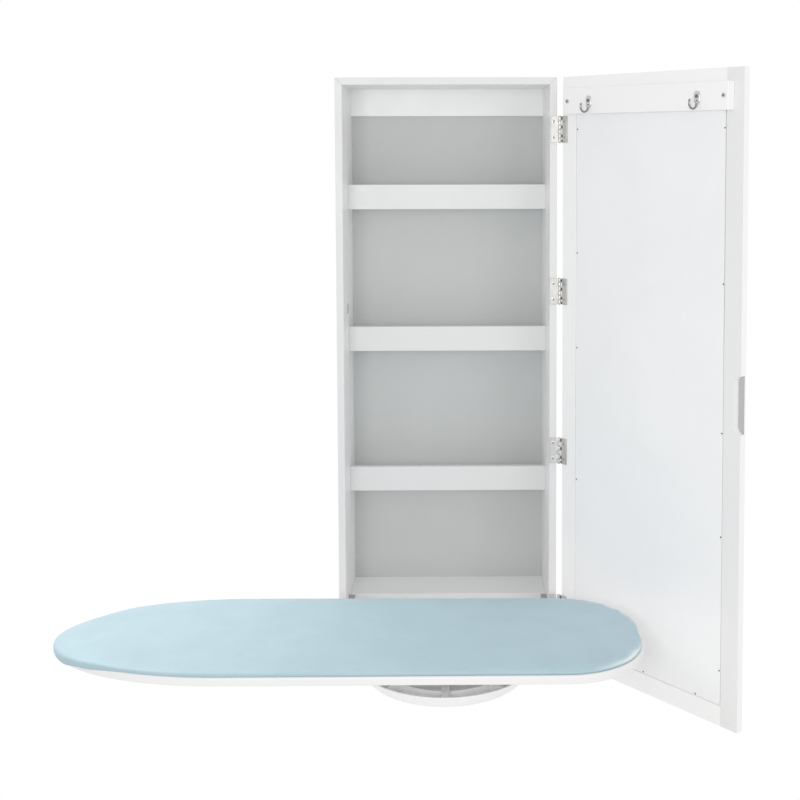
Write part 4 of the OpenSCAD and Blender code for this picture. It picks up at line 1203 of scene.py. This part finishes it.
class CABINET_OT_hinges(bpy.types.Operator):
    """Builds the hinges' leaves with their rolled knuckles, and the pins"""

    bl_idname = "cabinet.hinges"
    bl_label = "Hinges"

    def execute(self, context):
        look = context.scene.cabinet_hinge
        on_case, on_door_face = self.leaves(look, 0, -LEAF_T), self.leaves(look, 1, DOOR_FACE)
        new_piece("hinge_leaves_case", on_case, "nickel", "cabinet", "hinge_case_leaves")
        new_piece("hinge_leaves_door", on_door_face, "nickel", "door", "hinge_door_leaves")
        # Painted shade: near-black bars in the door leaves' notches between the knuckles, where the gaps lie
        # in shade.
        back = DOOR_FACE + LEAF_T
        notches = [
            bar((184.1, back - 0.3, at + z - 2.1), (186.6, back + 0.06, at + z + 2.1), 0.02, 1)
            for at in HINGE_Z
            for z in (-19.2, -11.0, 3.7, 18.3)
        ]
        new_piece("hinge_notches", joined(notches), "recess", "door", slot="nickel")
        low = [(0.9, -0.8), (1.5, -0.6), (1.8, -0.2), (1.8, 0.0), (1.2, 0.0)]
        profile = [(radius, z - LEAF_LEN / 2) for radius, z in low]
        profile += [(radius, -z) for radius, z in reversed(profile)]
        pins = [drum([(radius, z + at) for radius, z in profile], 20, PIN) for at in HINGE_Z]
        new_piece("hinge_pin_set", joined(pins), "nickel", "cabinet", "hinge_pins")
        return {"FINISHED"}

    def leaves(self, look, first, y):
        """The leaves' plates, each of two strips with a groove between them, and their knuckles from
        number first: every other one of six, with softly rolled rims."""
        half, step, gap, soft = LEAF_LEN / 2, LEAF_LEN / 6, 0.2, look.soft * 1000
        rim = [(KNUCKLE_R - soft, 0.0), (KNUCKLE_R - soft * 0.3, soft * 0.3), (KNUCKLE_R, soft)]
        parts = []
        for at in HINGE_Z:
            parts.append(bar((175.3, y, at - half), (185.6, y + LEAF_T, at + half), 0.35, 2))
            parts.append(bar((173.4, y, at - half), (175.0, y + LEAF_T, at + half), 0.35, 2))
            parts.append(bar((174.5, y + 0.2, at - half + 0.4), (175.8, y + 1.1, at + half - 0.4), 0.1, 1))
            for number in range(first, 6, 2):
                low = at - half + number * step + gap
                high = low + step - 2 * gap
                parts.append(bar((185.0, y, low), (PIN[0], y + LEAF_T, high), 0.2, 1))
                profile = [(radius, low + z) for radius, z in rim]
                profile += [(radius, high - z) for radius, z in reversed(rim)]
                parts.append(drum(profile, 28, PIN))
        return joined(parts)


class CABINET_OT_turntable(bpy.types.Operator):
    """Builds the ribbed dish with its flared wall, and the swivel plate over it"""

    bl_idname = "cabinet.turntable"
    bl_label = "Turntable"

    def execute(self, context):
        steps = context.scene.cabinet_turntable.steps
        at, plate_low = (0.0, SWIVEL_Y), 102.2
        foot = [(BORE_R, 3), (BORE_R, 0), (112, 0), (114.5, 0), (116.3, 0.9), (118.3, 2.8)]
        flare = [(130.6, 18.6), (131, 19.4), (130.7, 19.9), (130, 20), (128.4, 20), (128, 19.6)]
        inside = [(116.2, 4.6), (114.9, 3.3), (113, 3)]
        parts = [
            ring_solid([(radius, DISH_LOW + z) for radius, z in foot + flare + inside], steps, at),
            ring_solid(standing_ring(88, 91, DISH_FLOOR, 94, 0.7), steps, at),
            ring_solid(standing_ring(RACE_IN, RACE_OUT, DISH_FLOOR, 100, 0.6), steps, at),
            ring_solid(standing_ring(BORE_R, HUB_R, DISH_FLOOR, 100, 0.6, bored=True), 40, at),
        ]
        parts += [self.rib(number) for number in range(8)] + self.bosses()
        new_piece("turntable_dish", joined(parts), "white_plastic", "fold_frame", "turntable_base", smooth=35)
        plate = [
            ring_solid(standing_ring(BORE_R, 72, 126.9, 122, 0.8, bored=True), steps, at),
            ring_solid(standing_ring(RACE_IN, RACE_OUT, 122.1, plate_low, 0.6), steps, at),
            ring_solid(standing_ring(BORE_R, HUB_R, 122.1, plate_low, 0.6, bored=True), 40, at),
        ]
        new_piece("swivel_disc", joined(plate), "white_plastic", "board", "swivel_plate", smooth=35)
        return {"FINISHED"}

    def rib(self, number):
        """Upright rib from the race out to the wall, one of eight; the first, towards the front, is wide."""
        half, turn = 6.0 if number == 0 else 1.5, math.radians(45 * number - 90)
        along, across = (math.cos(turn), math.sin(turn), 0), (-math.sin(turn), math.cos(turn), 0)
        points, faces = bar((48, -half, DISH_FLOOR), (117, half, RIB_TOP), 0.5, 2)
        return place(points, (0, SWIVEL_Y, 0), along, across, (0, 0, 1)), faces

    def bosses(self):
        """Four bosses for the arms' screws, each with a small hollow in its top."""
        floor, top = DISH_FLOOR, RIB_TOP
        profile = [(6, floor), (6, top - 0.6), (5.4, top), (3.2, top), (3.0, top - 0.4)]
        return [
            drum(profile, 24, (x, SWIVEL_Y + y)) for x in (-ARM_X, ARM_X) for y in (-ARM_BOSS_Y, ARM_BOSS_Y)
        ]


class CABINET_OT_fittings(bpy.types.Operator):
    """Eases the brackets, lugs, arms, plates and cleat, and builds every set of screws"""

    bl_idname = "cabinet.fittings"
    bl_label = "Fittings and screws"

    def execute(self, context):
        for name, node, width, finish, body in (
            ("bracket_left", "side_bracket_left", 0.4, "zinc_steel", "cabinet"),
            ("bracket_right", "side_bracket_right", 0.4, "zinc_steel", "cabinet"),
            ("catch", "catch_plate", 0.25, "nickel", "cabinet"),
            ("cleat", "hanging_cleat", 0.6, "white_lacquer", "cabinet"),
            ("lug_left", "stop_lug_left", 0.5, "white_steel", "fold_frame"),
            ("lug_right", "stop_lug_right", 0.5, "white_steel", "fold_frame"),
            ("arm_left", "fold_arm_left", 1.0, "white_steel", "fold_frame"),
            ("arm_right", "fold_arm_right", 1.0, "white_steel", "fold_frame"),
        ):
            eased(name, node, width, finish, body)
        self.door_screws()
        self.case_screws()
        self.frame_screws()
        self.pins()
        return {"FINISHED"}

    def door_screws(self):
        """Screws of the hinges, of the hook rail and of the hooks."""
        leaf = [z + side * 13.2 for z in HINGE_Z for side in SIDES]
        case = [(179.2, -LEAF_T, z) for z in leaf]
        door = [(179.2, DOOR_FACE + LEAF_T, z) for z in leaf]
        rail = [(side * (RAIL_HALF - 8), RAIL_FACE, RAIL_Z) for side in SIDES]
        hook = [(side * HOOK_X, RAIL_FACE + HOOK_PLATE_T, RAIL_Z) for side in SIDES]
        front, back = (0, -1, 0), (0, 1, 0)
        for name, node, size, length, seats, out, finish, body in (
            ("leaf_screws_case", "hinge_case_screws", 2.8, 12, case, front, "nickel", "cabinet"),
            ("leaf_screws_door", "hinge_door_screws", 2.8, 10, door, back, "nickel", "door"),
            ("rail_screws", "hook_rail_screws", 3.5, 22, rail, back, "zinc_steel", "door"),
            ("hook_fixings", "hook_screws", 3.0, 12, hook, back, "chrome", "door"),
        ):
            screw_set(name, node, size, length, seats, out, finish, body, dark=True)

    def case_screws(self):
        """Screws of the catch plate and of the side brackets."""
        low, high = span("catch_plate")
        _, y, z = (low + high) / 2
        seats = [(high[0], y, z + side * 5) for side in SIDES]
        screw_set("catch_fixings", "catch_screws", 2.4, 9, seats, (1, 0, 0), "nickel", "cabinet")
        flat = [(11, 53), (55, 53), (36, 75)]
        seats = [(side * (INNER - 2.5), y, z) for side in SIDES for y, z in flat]
        out = [(-side, 0, 0) for side in SIDES for _ in flat]
        screw_set("bracket_fixings", "bracket_screws", 4.0, 12.5, seats, out, "zinc_steel", "cabinet")

    def frame_screws(self):
        """Screws that hold the turntable's dish on the arms and its swivel plate under the board."""
        down, low = (0, 0, -1), span("fold_arm_left")[0][2]
        seats = [(x * ARM_X, SWIVEL_Y + y * ARM_BOSS_Y, low) for x in SIDES for y in SIDES]
        screw_set("arm_fixings", "arm_screws", 5.0, 32, seats, down, "zinc_steel", "fold_frame")
        seats = [(60 * x, SWIVEL_Y + 60 * y, 122) for x, y in circle(8)[1::2]]
        screw_set("plate_fixings", "swivel_plate_screws", 3.5, 13, seats, down, "zinc_steel", "board")

    def pins(self):
        """Small dark pins that hold the backing: up both its sides, by their share of the case's height,
        and along its lower end, by their share of its width."""
        side, end = HALF - FRAME_W - 3.1, FRAME_W + 3.1
        seats = [(side, share * CASE_H) for share in (0.32, 0.545, 0.705, 0.912)]
        seats += [(-side, share * CASE_H) for share in (0.086, 0.293, 0.452, 0.678, 0.911)]
        seats += [(share * 2 * HALF, end) for share in (-0.286, 0, 0.286)]
        seats = [(x, DOOR_FACE - SEAT, z) for x, z in seats]
        piece = screw_set("sheet_pins", "backing_pins", 1.2, 2.5, seats, (0, 1, 0), "zinc_steel", "door")
        piece.data.materials[0] = FINISHES["recess"]


# ---- panel ----

LOOKS = {
    "finish": FinishLook,
    "case": CaseLook,
    "door": DoorLook,
    "hook": HookLook,
    "board": BoardLook,
    "hinge": HingeLook,
    "turntable": TurntableLook,
    "stage": StageLook,
}
STEPS = ("stage", "finishes", "case", "door", "hooks", "hinges", "turntable", "fittings", "board", "cover")


class CABINET_PT_panel(bpy.types.Panel):
    """Lists the cabinet's steps"""

    bl_idname = "CABINET_PT_panel"
    bl_label = "Mirror cabinet"
    bl_space_type = "VIEW_3D"
    bl_region_type = "UI"
    bl_category = "Cabinet"

    def draw(self, context):
        for step in STEPS:
            self.layout.operator("cabinet." + step)


CLASSES = (
    *LOOKS.values(),
    CABINET_OT_stage,
    CABINET_OT_finishes,
    CABINET_OT_case,
    CABINET_OT_door,
    CABINET_OT_board,
    CABINET_OT_cover,
    CABINET_OT_hooks,
    CABINET_OT_hinges,
    CABINET_OT_turntable,
    CABINET_OT_fittings,
    CABINET_PT_panel,
)


def register():
    for item in CLASSES:
        bpy.utils.register_class(item)
    for name, look in LOOKS.items():
        setattr(bpy.types.Scene, "cabinet_" + name, PointerProperty(type=look))


def unregister():
    for name in LOOKS:
        delattr(bpy.types.Scene, "cabinet_" + name)
    for item in reversed(CLASSES):
        bpy.utils.unregister_class(item)


def main():
    register()
    for step in STEPS:
        getattr(bpy.ops.cabinet, step)()
    bpy.context.view_layer.update()


if __name__ == "__main__":
    main()
